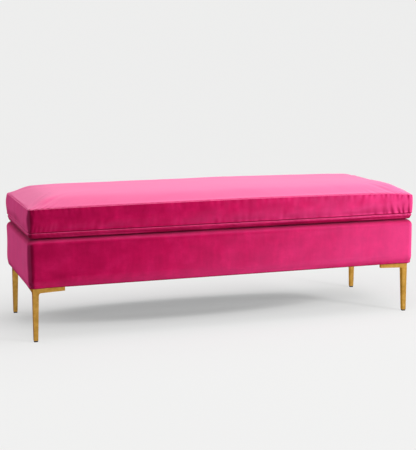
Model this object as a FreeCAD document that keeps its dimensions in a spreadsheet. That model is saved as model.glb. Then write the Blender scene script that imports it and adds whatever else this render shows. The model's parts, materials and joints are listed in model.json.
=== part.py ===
"""Upholstered bench: a padded box base on four cast brass legs, and one loose boxed cushion.

Frame: X along the bench, -Y to the front, +Z up, origin on the floor under the centre of the bench.
All lengths are in millimetres.
"""
import FreeCAD, Part
import math
import os
import re

import Sketcher
from FreeCAD import Placement, Rotation, Vector

os.makedirs("parts", exist_ok=True)
doc = FreeCAD.newDocument("bench")

# Driving dimensions

SIZES = [
    ("bench_width", 1372, "end to end, over the velvet"),
    ("bench_depth", 462, "front to rear, over the velvet"),
    ("leg_height", 178, "floor to the top of the leg plate"),
    ("base_height", 157.5, "top of the leg plate to the top of the base"),
    ("cloth", 1.5, "thickness of the velvet"),
    ("soft_gap", 0.3, "gap between a soft piece and its neighbour"),
    ("base_corner", 22, "radius of the upright corners of the base"),
    ("base_top_round", 20, "radius of the top edges of the base"),
    ("base_tuck", 4, "how far the sides of the base draw in at the bottom"),
    ("base_tuck_height", 30, "height over which they draw in"),
    ("hem_width", 22, "velvet turned under the frame"),
    ("deck_border", 70, "velvet turned over the top, from the outer face"),
    ("dust_cover_thickness", 0.8, "black cloth under the frame"),
    ("dust_cover_inset", 12, "its edge, from the outer face of the base"),
    ("frame_inset", 12, "outer face of the rails, from the outer face of the base"),
    ("rail_thickness", 25, "hardwood rails"),
    ("rail_height", 130, "hardwood rails"),
    ("deck_thickness", 12, "plywood deck panel"),
    ("brace_thickness", 22, "cross braces"),
    ("brace_height", 70, "cross braces"),
    ("brace_spacing", 330, "from one cross brace to the next"),
    ("block_size", 60, "side of a corner block"),
    ("leg_inset", 15, "outer faces of a leg, from the outer face of the base"),
    ("leg_top", 20, "side of the square post at its top"),
    ("leg_foot", 14, "side of the square post at its foot"),
    ("plate_thickness", 4, "corner plate of a leg"),
    ("arm_length", 104, "ribs and plate, from the outer corner of the leg"),
    ("rib_depth", 12, "thickness of a rib, seen from below"),
    ("rib_root", 18.5, "height of a rib beside the post"),
    ("rib_tip", 15.5, "height of a rib at its tip"),
    ("rib_fillet", 8, "radius between rib and post"),
    ("leg_edge", 1.2, "rounding of the edges of the post"),
    ("glide_height", 4.5, "black foot under a leg"),
    ("glide_side", 13, "side of the foot"),
    ("glide_corner", 3, "its corner radius"),
    ("stem_diameter", 6, "stem of the foot"),
    ("stem_length", 14, "stem of the foot"),
    ("stem_clearance", 0.1, "round the stem and past its end"),
    ("screw_diameter", 4, "wood screws"),
    ("screw_head", 8, "countersunk head"),
    ("screw_clearance", 0.05, "round a screw in its hole"),
    ("leg_screw_length", 28, "leg plate to frame"),
    ("rib_screw_reach", 76, "outer leg screws, along the rib"),
    ("rib_screw_offset", 18, "outer leg screws, from the outer face of the leg"),
    ("corner_screw_offset", 36, "inner leg screw, from both outer faces of the leg"),
    ("block_screw_bite", 16, "how far a block screw enters the rail"),
    ("block_screw_rise", 30, "upper and lower block screws, from mid height"),
    ("brace_screw_length", 60, "rail to brace"),
    ("brace_screw_rise", 18, "brace screws, from the middle of the brace"),
    ("deck_screw_length", 35, "deck panel to rail"),
    ("staple_crown", 10, "width of a staple"),
    ("staple_wire", 0.6, "thickness of its wire"),
    ("staple_breadth", 1.2, "breadth of its wire"),
    ("staple_leg", 8, "length of its legs"),
    ("staple_spacing", 100, "from one staple to the next"),
    ("staple_inset", 18, "line of staples, from the outer face of the base"),
    ("cushion_clearance", 0.3, "base to cushion"),
    ("cushion_setback", 5, "rear face of the cushion, in front of the rear face of the base"),
    ("cushion_corner", 18, "rounding of the upright corners of the cushion"),
    ("bottom_round", 16, "rounding of the lower edge of the cushion"),
    ("seam_low", 19, "lower seam above the underside of the cushion"),
    ("seam_high", 102.7, "upper seam above the underside of the cushion"),
    ("seam_droop", 9, "how much lower the upper seam lies at the ends"),
    ("side_bulge", 4, "how far the boxing stands out between its seams"),
    ("crown", 26, "rise of the top panel above its seam"),
    ("end_rise", 4, "rise of the top panel at the end seams"),
    ("crown_run", 100, "length over which the crown rises from an end"),
    ("shoulder_run", 68, "width over which it rises from the front and rear seams"),
    ("seam_gap", 0.3, "between two velvet panels at a seam"),
    ("wrap_thickness", 15, "fibre wrap round the foam core"),
    ("zip_length", 1200, "zip in the rear boxing"),
    ("zip_tape_width", 28, "zip tape"),
    ("zip_tape_thickness", 0.8, "zip tape"),
    ("zip_tape_sink", 0.9, "outer face of the tape behind the inner face of the velvet"),
    ("zip_slit", 8, "opening between the two rear boxing strips"),
    ("zip_end_cloth", 20, "boxing strip beyond each end of the zip"),
    ("chain_width", 5.5, "zip chain"),
    ("chain_height", 2.4, "zip chain"),
    ("stop_length", 4, "stop at each end of the chain"),
    ("stop_height", 3.2, "stop at each end of the chain"),
    ("slider_length", 12, "zip slider"),
    ("slider_width", 7.4, "zip slider"),
    ("slider_plate", 1.4, "thickness of its plate"),
    ("slider_clearance", 0.3, "slider to chain"),
    ("slider_lip", 1.7, "depth of its lips beside the chain"),
    ("lug_thickness", 1, "lugs that hold the pull"),
    ("lug_gap", 3, "between the lugs"),
    ("lug_height", 2.4, "lugs"),
    ("pull_pin", 1, "diameter of the pin"),
    ("pull_clearance", 0.05, "round the pin"),
    ("pull_length", 24, "pull tab"),
    ("pull_width", 6, "pull tab"),
    ("pull_thickness", 1, "pull tab"),
    ("pull_eye", 2, "diameter of the eye of the pull"),
]

sheet = doc.addObject("Spreadsheet::Sheet", "Sizes")
for row, (alias, amount, note) in enumerate(SIZES, start=1):
    sheet.set("A%d" % row, alias)
    sheet.set("B%d" % row, str(amount))
    sheet.set("C%d" % row, note)
    sheet.setAlias("B%d" % row, alias)
doc.recompute()

ALIASES = {alias for alias, amount, note in SIZES}


def size(alias):
    """The value of one driving dimension."""
    return float(sheet.get(alias))


def expression(text):
    """A sheet expression from plain words, such as "bench_width / 2 - leg_inset"."""
    return re.sub(r"[a-z_]+", lambda m: "Sizes." + m.group() if m.group() in ALIASES else m.group(), text)


def value(text):
    """The number that such an expression stands for."""
    return float(sheet.evalExpression(expression(text)))


def bind(item, **links):
    """Bind properties to expressions; two underscores in a name stand for a dot."""
    for name, text in links.items():
        item.setExpression(name.replace("__", "."), expression(text))


def place(item, x="0", y="0", z="0"):
    bind(item, Placement__Base__x=x, Placement__Base__y=y, Placement__Base__z=z)


nodes = []


def keep(item, label):
    """Make an object a sub-part: its label names its file."""
    item.Label = label
    nodes.append(item)
    return item


def box(name, x, y, z, length, width, height):
    item = doc.addObject("Part::Box", name)
    bind(item, Length=length, Width=width, Height=height)
    place(item, x, y, z)
    return item


def cylinder(name, x, y, z, radius, height, direction=Vector(0, 0, 1)):
    item = doc.addObject("Part::Cylinder", name)
    item.Placement = Placement(Vector(), Rotation(Vector(0, 0, 1), direction))
    bind(item, Radius=radius, Height=height)
    place(item, x, y, z)
    return item


def compound(name, items):
    item = doc.addObject("Part::Compound", name)
    item.Links = items
    return item


def cut(name, base, tool):
    item = doc.addObject("Part::Cut", name)
    item.Base = base
    item.Tool = tool
    return item


def fuse(name, items):
    item = doc.addObject("Part::MultiFuse", name)
    item.Shapes = items
    return item


# Heights and half sizes, as expressions

BASE_TOP = "(leg_height + base_height)"
COVER_BOTTOM = "(leg_height + dust_cover_thickness)"
FRAME_BOTTOM = "(leg_height + dust_cover_thickness + cloth + soft_gap)"
FRAME_TOP = "(leg_height + dust_cover_thickness + cloth + soft_gap + rail_height)"
DECK_TOP = "(leg_height + dust_cover_thickness + cloth + soft_gap + rail_height + deck_thickness)"
RAIL_X = "(bench_width / 2 - frame_inset)"
RAIL_Y = "(bench_depth / 2 - frame_inset)"
INNER_X = "(bench_width / 2 - frame_inset - rail_thickness)"
INNER_Y = "(bench_depth / 2 - frame_inset - rail_thickness)"
LEG_X = "(bench_width / 2 - leg_inset)"
LEG_Y = "(bench_depth / 2 - leg_inset)"
CUSHION_LOW = "(leg_height + base_height + cushion_clearance)"
CUSHION_REAR = "(bench_depth / 2 - cushion_setback)"
ZIP_Z = "(leg_height + base_height + cushion_clearance + (seam_low + seam_high) / 2)"
TAPE_FACE = "(bench_depth / 2 - cushion_setback - cloth - zip_tape_sink)"

CORNERS = [("front_left", -1, -1, 0), ("front_right", 1, -1, 90),
           ("rear_right", 1, 1, 180), ("rear_left", -1, 1, 270)]
ALONG = {"x": Vector(1, 0, 0), "y": Vector(0, 1, 0), "z": Vector(0, 0, 1)}


def signed(sign, text):
    return "%d * %s" % (sign, text)


# Fasteners and the holes that they need

def screw(name, at, axis, sign, length, slack="0"):
    """A countersunk screw with the face of its head at a point, running along an axis."""
    direction = ALONG[axis] * sign
    cone = doc.addObject("Part::Cone", name + "_head")
    cone.Placement = Placement(Vector(), Rotation(Vector(0, 0, 1), direction))
    bind(cone, Radius1="screw_head / 2 + " + slack, Radius2="screw_diameter / 2 + " + slack,
         Height="(screw_head - screw_diameter) / 2")
    place(cone, *at)
    shank = cylinder(name + "_shank", at[0], at[1], at[2], "screw_diameter / 2 + " + slack, length, direction)
    return fuse(name, [cone, shank])


def staple(name, x, y, turned, slack="0"):
    """A staple under the frame: a crown against the dust cover and two legs in the rail."""
    wide, deep = ("staple_crown", "staple_breadth") if not turned else ("staple_breadth", "staple_crown")
    grow = " + 2 * " + slack
    low = "leg_height - staple_wire"
    pieces = [box(name + "_crown", x + " - " + wide + " / 2 - " + slack, y + " - " + deep + " / 2 - " + slack,
                  low, wide + grow, deep + grow, "staple_wire")]
    for side in (-1, 1):
        shift = "%d * (staple_crown - staple_wire) / 2" % side
        leg_x = x + ("" if turned else " + " + shift)
        leg_y = y + (" + " + shift if turned else "")
        leg_wide, leg_deep = ("staple_wire", "staple_breadth")
        if turned:
            leg_wide, leg_deep = leg_deep, leg_wide
        pieces.append(box(name + "_leg%d" % (side + 1),
                          leg_x + " - " + leg_wide + " / 2 - " + slack,
                          leg_y + " - " + leg_deep + " / 2 - " + slack,
                          "leg_height - staple_wire", leg_wide + grow, leg_deep + grow,
                          "staple_wire + staple_leg" + (" + " + slack)))
    return fuse(name, pieces)


def leg_screw_places():
    for corner, sx, sy, turn in CORNERS:
        for number, (along, across) in enumerate([("rib_screw_reach", "rib_screw_offset"),
                                                  ("rib_screw_offset", "rib_screw_reach"),
                                                  ("corner_screw_offset", "corner_screw_offset")]):
            at = (signed(sx, "(%s - %s)" % (LEG_X, along)), signed(sy, "(%s - %s)" % (LEG_Y, across)),
                  "leg_height - plate_thickness")
            yield "%s_%d" % (corner, number), at, "z", 1, "leg_screw_length"


def block_screw_places():
    middle = "(%s + rail_height / 2)" % FRAME_BOTTOM
    length = "block_size + block_screw_bite"
    for corner, sx, sy, turn in CORNERS:
        centre_x = signed(sx, "(%s - block_size / 2)" % INNER_X)
        centre_y = signed(sy, "(%s - block_size / 2)" % INNER_Y)
        face_x = signed(sx, "(%s - block_size)" % INNER_X)
        face_y = signed(sy, "(%s - block_size)" % INNER_Y)
        for side in (-1, 1):
            height = "%s + %d * block_screw_rise" % (middle, side)
            yield "%s_y%d" % (corner, side + 1), (centre_x, face_y, height), "y", sy, length
        yield corner + "_x", (face_x, centre_y, middle), "x", sx, length


def brace_screw_places():
    for number in (-1, 0, 1):
        for sy in (-1, 1):
            for side in (-1, 1):
                at = ("%d * brace_spacing" % number, signed(sy, RAIL_Y),
                      "%s - brace_height / 2 + %d * brace_screw_rise" % (FRAME_TOP, side))
                yield "%d%d%d" % (number + 1, sy + 1, side + 1), at, "y", -sy, "brace_screw_length"


def deck_screw_places():
    for number in (-3, -1, 1, 3):
        for sy in (-1, 1):
            at = ("%d * brace_spacing / 2" % number,
                  signed(sy, "(%s - rail_thickness / 2)" % RAIL_Y), DECK_TOP)
            yield "%d%d" % (number + 3, sy + 1), at, "z", -1, "deck_screw_length"


def staple_places():
    for sy in (-1, 1):
        for number in range(-5, 6):
            yield "long%d_%d" % (sy + 1, number + 5), "%d * staple_spacing" % number, \
                signed(sy, "(bench_depth / 2 - staple_inset)"), False
    for sx in (-1, 1):
        for number in (-1, 0, 1):
            yield "short%d_%d" % (sx + 1, number + 1), signed(sx, "(bench_width / 2 - staple_inset)"), \
                "%d * staple_spacing * 0.8" % number, True


holes = []
for label, places in (("leg_screws", leg_screw_places), ("block_screws", block_screw_places),
                      ("brace_screws", brace_screw_places), ("deck_screws", deck_screw_places)):
    screws = [screw("%s_%s" % (label, name), at, axis, sign, length)
              for name, at, axis, sign, length in places()]
    keep(compound(label, screws), label)
    holes += [screw("hole_%s_%s" % (label, name), at, axis, sign, length, "screw_clearance")
              for name, at, axis, sign, length in places()]

staples = [staple("staple_" + name, x, y, turned) for name, x, y, turned in staple_places()]
keep(compound("dust_cover_staples", staples), "dust_cover_staples")
staple_slots = [staple("slot_" + name, x, y, turned, "screw_clearance")
                for name, x, y, turned in staple_places()]


def drilled(item, label, near):
    """Cut the fastener holes whose names hold one of the given words, and keep the result."""
    tools = [hole for hole in holes + staple_slots if any(word in hole.Name for word in near)]
    return keep(cut(label + "_drilled", item, compound(label + "_holes", tools)), label)


# Frame of the base

def long_rail(label, side):
    near = -1 if side == "front" else 1
    y = "-" + RAIL_Y if near < 0 else INNER_Y
    rail = box(label + "_bar", "-" + RAIL_X, y, FRAME_BOTTOM,
               "2 * " + RAIL_X, "rail_thickness", "rail_height")
    words = ["leg_screws_%s_left_0" % side, "leg_screws_%s_right_0" % side,
             "leg_screws_%s_left_1" % side, "leg_screws_%s_right_1" % side,
             "block_screws_%s_left_y" % side, "block_screws_%s_right_y" % side,
             "slot_staple_long%d" % (near + 1), "slot_long%d" % (near + 1)]
    words += ["hole_brace_screws_%d%d" % (number, near + 1) for number in range(3)]
    words += ["hole_deck_screws_%d%d" % (number + 3, near + 1) for number in (-3, -1, 1, 3)]
    return drilled(rail, label, words)


def end_rail(label, side):
    near = -1 if side == "left" else 1
    x = "-" + RAIL_X if near < 0 else INNER_X
    rail = box(label + "_bar", x, "-" + INNER_Y, FRAME_BOTTOM,
               "rail_thickness", "2 * " + INNER_Y, "rail_height")
    words = ["hole_leg_screws_front_%s_1" % side, "hole_leg_screws_rear_%s_1" % side,
             "hole_leg_screws_front_%s_0" % side, "hole_leg_screws_rear_%s_0" % side,
             "hole_block_screws_front_%s_x" % side, "hole_block_screws_rear_%s_x" % side,
             "slot_short%d" % (near + 1)]
    return drilled(rail, label, words)


long_rail("front_rail", "front")
long_rail("rear_rail", "rear")
end_rail("left_end_rail", "left")
end_rail("right_end_rail", "right")

for number, side in enumerate(("left", "centre", "right")):
    label = "cross_brace_" + side
    brace = box(label + "_bar", "%d * brace_spacing - brace_thickness / 2" % (number - 1), "-" + INNER_Y,
                FRAME_TOP + " - brace_height", "brace_thickness", "2 * " + INNER_Y, "brace_height")
    drilled(brace, label, ["hole_brace_screws_%d" % number])

for corner, sx, sy, turn in CORNERS:
    label = "corner_block_" + corner
    block_x = "-" + INNER_X if sx < 0 else "%s - block_size" % INNER_X
    block_y = "-" + INNER_Y if sy < 0 else "%s - block_size" % INNER_Y
    block = box(label + "_bar", block_x, block_y, FRAME_BOTTOM, "block_size", "block_size", "rail_height")
    drilled(block, label, ["hole_leg_screws_%s_2" % corner, "hole_block_screws_%s_" % corner])

deck = box("deck_panel_sheet", "-" + RAIL_X, "-" + RAIL_Y, FRAME_TOP, "2 * " + RAIL_X, "2 * " + RAIL_Y,
           "deck_thickness")
drilled(deck, "deck_panel", ["hole_deck_screws_"])

dust = box("dust_cover_sheet",
           "-(bench_width / 2 - dust_cover_inset)", "-(bench_depth / 2 - dust_cover_inset)", "leg_height",
           "bench_width - 2 * dust_cover_inset", "bench_depth - 2 * dust_cover_inset",
           "dust_cover_thickness")
drilled(dust, "dust_cover", ["hole_leg_screws_", "slot_"])


# Soft form of the base

def rounded_outline(half_x, half_y, radius, z):
    """A rectangle with rounded corners, in a level plane."""
    diagonal = radius * (1 - math.sqrt(0.5))
    edges = []
    points = []
    for sx, sy in ((1, -1), (1, 1), (-1, 1), (-1, -1)):
        start = Vector(sx * (half_x - radius), sy * half_y, z)
        end = Vector(sx * half_x, sy * (half_y - radius), z)
        middle = Vector(sx * (half_x - diagonal), sy * (half_y - diagonal), z)
        points.append((start, middle, end) if sx * sy < 0 else (end, middle, start))
    for number, (start, middle, end) in enumerate(points):
        following = points[(number + 1) % len(points)][0]
        edges.append(Part.Arc(start, middle, end).toShape())
        edges.append(Part.LineSegment(end, following).toShape())
    return Part.Wire(edges)


def ruled_loft(wires):
    """A solid with straight lines from each outline to the next, so that it never leaves them."""
    return Part.makeLoft(wires, True, True)


ROUND_STEPS = [math.radians(angle) for angle in (0, 22.5, 45, 67.5, 90)]
TUCK_STEPS = (0, 0.25, 0.5, 0.75, 1)


def base_form(inset):
    """The padded box, moved inwards by a distance: straight sides, a soft top edge, a tuck below."""
    low = value(COVER_BOTTOM) + inset
    high = value(BASE_TOP) - inset
    top_round = size("base_top_round") - inset
    tuck, tuck_height = size("base_tuck"), size("base_tuck_height")
    levels = [(low + tuck_height * step, tuck * (1 - step) ** 2) for step in TUCK_STEPS]
    levels += [(high - top_round * (1 - math.sin(angle)), top_round * (1 - math.cos(angle)))
               for angle in ROUND_STEPS]
    wires = []
    for z, draw in levels:
        corner = max(size("base_corner") - inset - 0.6 * draw, 1)
        wires.append(rounded_outline(size("bench_width") / 2 - inset - draw,
                                     size("bench_depth") / 2 - inset - draw, corner, z))
    return ruled_loft(wires)


def level_box(half_x, half_y, low, high):
    return Part.makeBox(2 * half_x, 2 * half_y, high - low, Vector(-half_x, -half_y, low))


def soft(label, shape):
    """A soft sub-part whose form is computed from the sheet."""
    item = doc.addObject("Part::Feature", label + "_form")
    item.Shape = shape
    return item


half_width, half_depth = size("bench_width") / 2, size("bench_depth") / 2
padding_inset = size("cloth") + size("soft_gap")
padded_box = base_form(padding_inset)
cover = base_form(0).cut(base_form(size("cloth")))
deck_hole = half_width - size("deck_border"), half_depth - size("deck_border")
hem_hole = half_width - size("hem_width"), half_depth - size("hem_width")
cover = cover.cut(level_box(*deck_hole, value(DECK_TOP), value(BASE_TOP) + 1))
cover = cover.cut(level_box(*hem_hole, value(COVER_BOTTOM) - 1, value(FRAME_TOP)))
keep(cut("base_cover_slit", soft("base_cover", cover), compound("cover_slots", staple_slots)), "base_cover")

foam_low = value(DECK_TOP) + size("soft_gap")
foam = padded_box.common(level_box(half_width, half_depth, foam_low, value(BASE_TOP)))
keep(soft("deck_foam", foam), "deck_foam")

frame_gap = size("soft_gap")
ring = padded_box.cut(level_box(value(RAIL_X) + frame_gap, value(RAIL_Y) + frame_gap, 0, value(BASE_TOP)))
ring = ring.common(level_box(half_width, half_depth, 0, value(DECK_TOP)))
keep(soft("side_padding", ring), "side_padding")

keep(box("deck_cloth_sheet", "-(bench_width / 2 - deck_border - soft_gap)",
         "-(bench_depth / 2 - deck_border - soft_gap)", BASE_TOP + " - cloth",
         "bench_width - 2 * (deck_border + soft_gap)", "bench_depth - 2 * (deck_border + soft_gap)", "cloth"),
     "deck_cloth")


# Legs

def plane(body, role):
    return next(item for item in body.Origin.OriginFeatures if item.Role == role)


def new_sketch(body, name, role, height="0"):
    sketch = body.newObject("Sketcher::SketchObject", name)
    sketch.AttachmentSupport = (plane(body, role), [""])
    sketch.MapMode = "FlatFace"
    bind(sketch, AttachmentOffset__Base__z=height)
    return sketch


def polygon(sketch, points, arc_after=None, centre=None):
    """A closed outline through points, each coordinate a constraint bound to the sheet.

    One edge may be a quarter arc, from the point with a given number, about a given centre.
    """
    places = [Vector(value(x), value(y), 0) for x, y in points]
    count = len(places)
    for number in range(count):
        following = places[(number + 1) % count]
        if number == arc_after:
            middle = Vector(value(centre[0]), value(centre[1]), 0)
            circle = Part.Circle(middle, Vector(0, 0, 1), (places[number] - middle).Length)
            sketch.addGeometry(Part.ArcOfCircle(circle, math.pi / 2, math.pi), False)
        else:
            sketch.addGeometry(Part.LineSegment(places[number], following), False)
    for number in range(count):
        sketch.addConstraint(Sketcher.Constraint("Coincident", number, 2, (number + 1) % count, 1))
    fixed = [(number, 1, x, y) for number, (x, y) in enumerate(points)]
    if centre:
        fixed.append((arc_after, 3) + centre)
    for number, end, x, y in fixed:
        for kind, text, axis in (("DistanceX", x, -2), ("DistanceY", y, -1)):
            if end == 1 and arc_after is not None and number == arc_after + 1 and kind == "DistanceX":
                continue
            if text == "0":
                sketch.addConstraint(Sketcher.Constraint("PointOnObject", number, end, axis))
                continue
            index = sketch.addConstraint(Sketcher.Constraint(kind, -1, 1, number, end, value(text)))
            sketch.renameConstraint(index, "%s_%d_%d" % (kind, number, end))
            sketch.setExpression("Constraints.%s_%d_%d" % (kind, number, end), expression(text))


def circles(sketch, places, diameter):
    """Round holes, each with its centre and diameter bound to the sheet."""
    for number, (x, y) in enumerate(places):
        centre = Vector(value(x), value(y), 0)
        sketch.addGeometry(Part.Circle(centre, Vector(0, 0, 1), value(diameter) / 2), False)
        for kind, constraint, text in (
                ("across", Sketcher.Constraint("DistanceX", -1, 1, number, 3, value(x)), x),
                ("along", Sketcher.Constraint("DistanceY", -1, 1, number, 3, value(y)), y),
                ("diameter", Sketcher.Constraint("Diameter", number, value(diameter)), diameter)):
            index = sketch.addConstraint(constraint)
            sketch.renameConstraint(index, "%s_%d" % (kind, number))
            sketch.setExpression("Constraints.%s_%d" % (kind, number), expression(text))


def pad(body, name, sketch, length, reverse=False):
    item = body.newObject("PartDesign::Pad", name)
    item.Profile = sketch
    item.Reversed = reverse
    bind(item, Length=length)
    return item


def rounded_square(sketch, low, high, radius):
    """A square from one coordinate to another, both ways, with rounded corners."""
    a, b, r = value(low), value(high), value(radius)
    corners = [(b - r, a + r, -90), (b - r, b - r, 0), (a + r, b - r, 90), (a + r, a + r, 180)]
    starts = [(a + r, a), (b, a + r), (b - r, b), (a, b - r)]
    ends = [(b - r, a), (b, b - r), (a + r, b), (a, a + r)]
    for start, end in zip(starts, ends):
        sketch.addGeometry(Part.LineSegment(Vector(*start, 0), Vector(*end, 0)), False)
    for x, y, angle in corners:
        circle = Part.Circle(Vector(x, y, 0), Vector(0, 0, 1), r)
        sketch.addGeometry(Part.ArcOfCircle(circle, math.radians(angle), math.radians(angle + 90)), False)
    for number in range(4):
        arc, following = 4 + number, (number + 1) % 4
        sketch.addConstraint(Sketcher.Constraint("Tangent", number, 2, arc, 1))
        sketch.addConstraint(Sketcher.Constraint("Tangent", arc, 2, following, 1))
        sketch.addConstraint(Sketcher.Constraint("Vertical" if number % 2 else "Horizontal", number))
        if number:
            sketch.addConstraint(Sketcher.Constraint("Equal", 4, arc))
    limits = [("radius", Sketcher.Constraint("Radius", 4, r), radius)]
    for name, kind, line, text in (("lower", "DistanceY", 0, low), ("left", "DistanceX", 3, low),
                                   ("right", "DistanceX", 1, high), ("upper", "DistanceY", 2, high)):
        if text == "0":
            origin_axis = -1 if kind == "DistanceY" else -2
            sketch.addConstraint(Sketcher.Constraint("PointOnObject", line, 1, origin_axis))
        else:
            limits.append((name, Sketcher.Constraint(kind, -1, 1, line, 1, value(text)), text))
    for name, constraint, text in limits:
        index = sketch.addConstraint(constraint)
        sketch.renameConstraint(index, name)
        sketch.setExpression("Constraints." + name, expression(text))


def must_cut(name, before, after):
    if not after < before - 1:
        raise RuntimeError(name + " removed nothing")


PLATE_LOW = "(leg_height - plate_thickness)"
FILLET_LOW = "(leg_height - rib_root - rib_fillet)"
POST_FACE = ("(leg_foot + (leg_top - leg_foot) * (%s - glide_height) / (%s - glide_height))"
             % (FILLET_LOW, PLATE_LOW))


def leg(label, angle):
    """A cast leg in its own frame: outer corner on the floor at the origin, ribs along +X and +Y."""
    body = doc.addObject("PartDesign::Body", label + "_casting")
    foot = new_sketch(body, label + "_foot", "XY_Plane", "glide_height")
    rounded_square(foot, "0", "leg_foot", "leg_edge")
    head = new_sketch(body, label + "_head", "XY_Plane", PLATE_LOW)
    rounded_square(head, "0", "leg_top", "leg_edge")
    post = body.newObject("PartDesign::AdditiveLoft", label + "_post")
    post.Profile = foot
    post.Sections = [head]

    plate = new_sketch(body, label + "_plate_outline", "XY_Plane", PLATE_LOW)
    polygon(plate, [("0", "0"), ("arm_length", "0"), ("arm_length", "rib_depth"),
                    ("rib_depth", "arm_length"), ("0", "arm_length")])
    pad(body, label + "_plate", plate, "plate_thickness")

    profile = [("leg_top / 2", PLATE_LOW), ("arm_length", PLATE_LOW), ("arm_length", "leg_height - rib_tip"),
               (POST_FACE + " + rib_fillet", "leg_height - rib_root"), (POST_FACE, FILLET_LOW),
               ("leg_top / 2", FILLET_LOW)]
    centre = (POST_FACE + " + rib_fillet", FILLET_LOW)
    front = new_sketch(body, label + "_front_profile", "XZ_Plane")
    polygon(front, profile, 3, centre)
    pad(body, label + "_front_rib", front, "rib_depth", True)
    side = new_sketch(body, label + "_side_profile", "YZ_Plane")
    polygon(side, profile, 3, centre)
    last = pad(body, label + "_side_rib", side, "rib_depth")
    doc.recompute()

    before = last.Shape.Volume
    mark = new_sketch(body, label + "_stem_mark", "XY_Plane", "glide_height")
    circles(mark, [("leg_foot / 2", "leg_foot / 2")], "stem_diameter + 2 * stem_clearance")
    bore = body.newObject("PartDesign::Pocket", label + "_stem_bore")
    bore.Profile = mark
    bore.Reversed = True
    bind(bore, Length="stem_length + stem_clearance")
    doc.recompute()
    must_cut(label + " stem bore", before, bore.Shape.Volume)
    body.Placement = Placement(Vector(), Rotation(Vector(0, 0, 1), angle))
    return body


def glide(label, angle):
    """A black foot in the frame of its leg: a rounded pad with a stem."""
    body = doc.addObject("PartDesign::Body", label + "_foot")
    outline = new_sketch(body, label + "_outline", "XY_Plane")
    rounded_square(outline, "(leg_foot - glide_side) / 2", "(leg_foot + glide_side) / 2", "glide_corner")
    pad(body, label + "_pad", outline, "glide_height")
    mark = new_sketch(body, label + "_stem_mark", "XY_Plane", "glide_height")
    circles(mark, [("leg_foot / 2", "leg_foot / 2")], "stem_diameter")
    pad(body, label + "_stem", mark, "stem_length")
    body.Placement = Placement(Vector(), Rotation(Vector(0, 0, 1), angle))
    return body


for corner, sx, sy, turn in CORNERS:
    casting = leg("leg_" + corner, turn)
    place(casting, signed(sx, LEG_X), signed(sy, LEG_Y))
    drilled(casting, "leg_" + corner, ["hole_leg_screws_%s_" % corner])
    foot = glide("glide_" + corner, turn)
    place(foot, signed(sx, LEG_X), signed(sy, LEG_Y))
    keep(foot, "glide_" + corner)


# Soft form of the cushion

def crown_rise(distance):
    """Rise of the top panel above its long seams, at a distance from the end of the bench."""
    share = 1 - (1 - min(distance / size("crown_run"), 1)) ** 2
    return size("end_rise") + (size("crown") - size("end_rise")) * share


def seam_height(x):
    """Height of the upper seam above the underside of the cushion: a little lower at the ends."""
    return size("seam_high") - size("seam_droop") * abs(2 * x / size("bench_width")) ** 3


def stations(inset):
    """Distance from the end, and how far the outline draws in there, for one half of the cushion."""
    corner = max(size("cushion_corner") - inset, 2)
    half = size("bench_width") / 2 - inset
    rounded = [(corner * (1 - math.sin(angle)), corner * (1 - math.cos(angle)))
               for angle in reversed(ROUND_STEPS)]
    rising = [(size("crown_run") * share, 0) for share in (0.3, 0.5, 0.7, 1)]
    return rounded + rising + [(half * share, 0) for share in (0.4, 0.7, 1)]


def turned_arc(start, end, turn):
    """An arc between two points of a section that turns by an angle, bulging upwards."""
    chord = end - start
    across = Vector(0, -chord.z, chord.y)
    if across.z < 0:
        across = across * -1
    middle = (start + end) * 0.5 + across.normalize() * (chord.Length / 2 * math.tan(turn / 4))
    return Part.Arc(start, middle, end).toShape()


def cushion_section(x, distance, draw, inset):
    """The outline of the cushion across the bench at one place along it, moved inwards by a distance."""
    lift = max(size("bottom_round") - inset, 2) * draw / max(size("cushion_corner") - inset, 2)
    low = value(CUSHION_LOW) + inset + lift
    lower = value(CUSHION_LOW) + size("seam_low") + 0.4 * inset
    upper = value(CUSHION_LOW) + seam_height(x) - inset
    front = -size("bench_depth") / 2 + inset + draw
    rear = value(CUSHION_REAR) - inset - draw
    bulge, middle = size("side_bulge"), (lower + upper) / 2
    round_run = size("bottom_round")
    rise = crown_rise(distance + inset)
    shoulder = size("shoulder_run")

    def at(y, z):
        return Vector(x, y, z)

    def lower_arc(face, inward):
        start, end = at(face, lower), at(face + inward * round_run, low)
        share = math.sqrt(0.5)
        halfway = at(end.y + (start.y - end.y) * share, start.z + (end.z - start.z) * share)
        return start, halfway, end

    front_face, rear_face = front + bulge, rear - bulge
    front_low = lower_arc(front_face, 1)
    rear_low = lower_arc(rear_face, -1)
    front_top, rear_top = at(front_face, upper), at(rear_face, upper)
    front_shoulder = at(front_face + shoulder, upper + 0.9 * rise)
    rear_shoulder = at(rear_face - shoulder, upper + 0.9 * rise)
    summit = at((front + rear) / 2, upper + rise)
    turn = 2 * math.atan(0.9 * rise / shoulder) - 2 * math.atan(0.2 * rise / (rear_shoulder.y - summit.y))
    return Part.Wire([
        Part.LineSegment(front_low[2], rear_low[2]).toShape(),
        Part.Arc(rear_low[2], rear_low[1], rear_low[0]).toShape(),
        Part.Arc(rear_low[0], at(rear, middle), rear_top).toShape(),
        turned_arc(rear_top, rear_shoulder, turn),
        Part.Arc(rear_shoulder, summit, front_shoulder).toShape(),
        turned_arc(front_shoulder, front_top, turn),
        Part.Arc(front_top, at(front, middle), front_low[0]).toShape(),
        Part.Arc(front_low[0], front_low[1], front_low[2]).toShape(),
    ])


def both_halves(inset):
    """Places along the bench from one end to the other, with the distance to the nearer end."""
    half = size("bench_width") / 2 - inset
    one = [(-(half - distance), distance, draw) for distance, draw in stations(inset)]
    return one + [(-x, distance, draw) for x, distance, draw in reversed(one[:-1])]


def cushion_form(inset):
    return ruled_loft([cushion_section(x, distance, draw, inset)
                       for x, distance, draw in both_halves(inset)])


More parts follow.
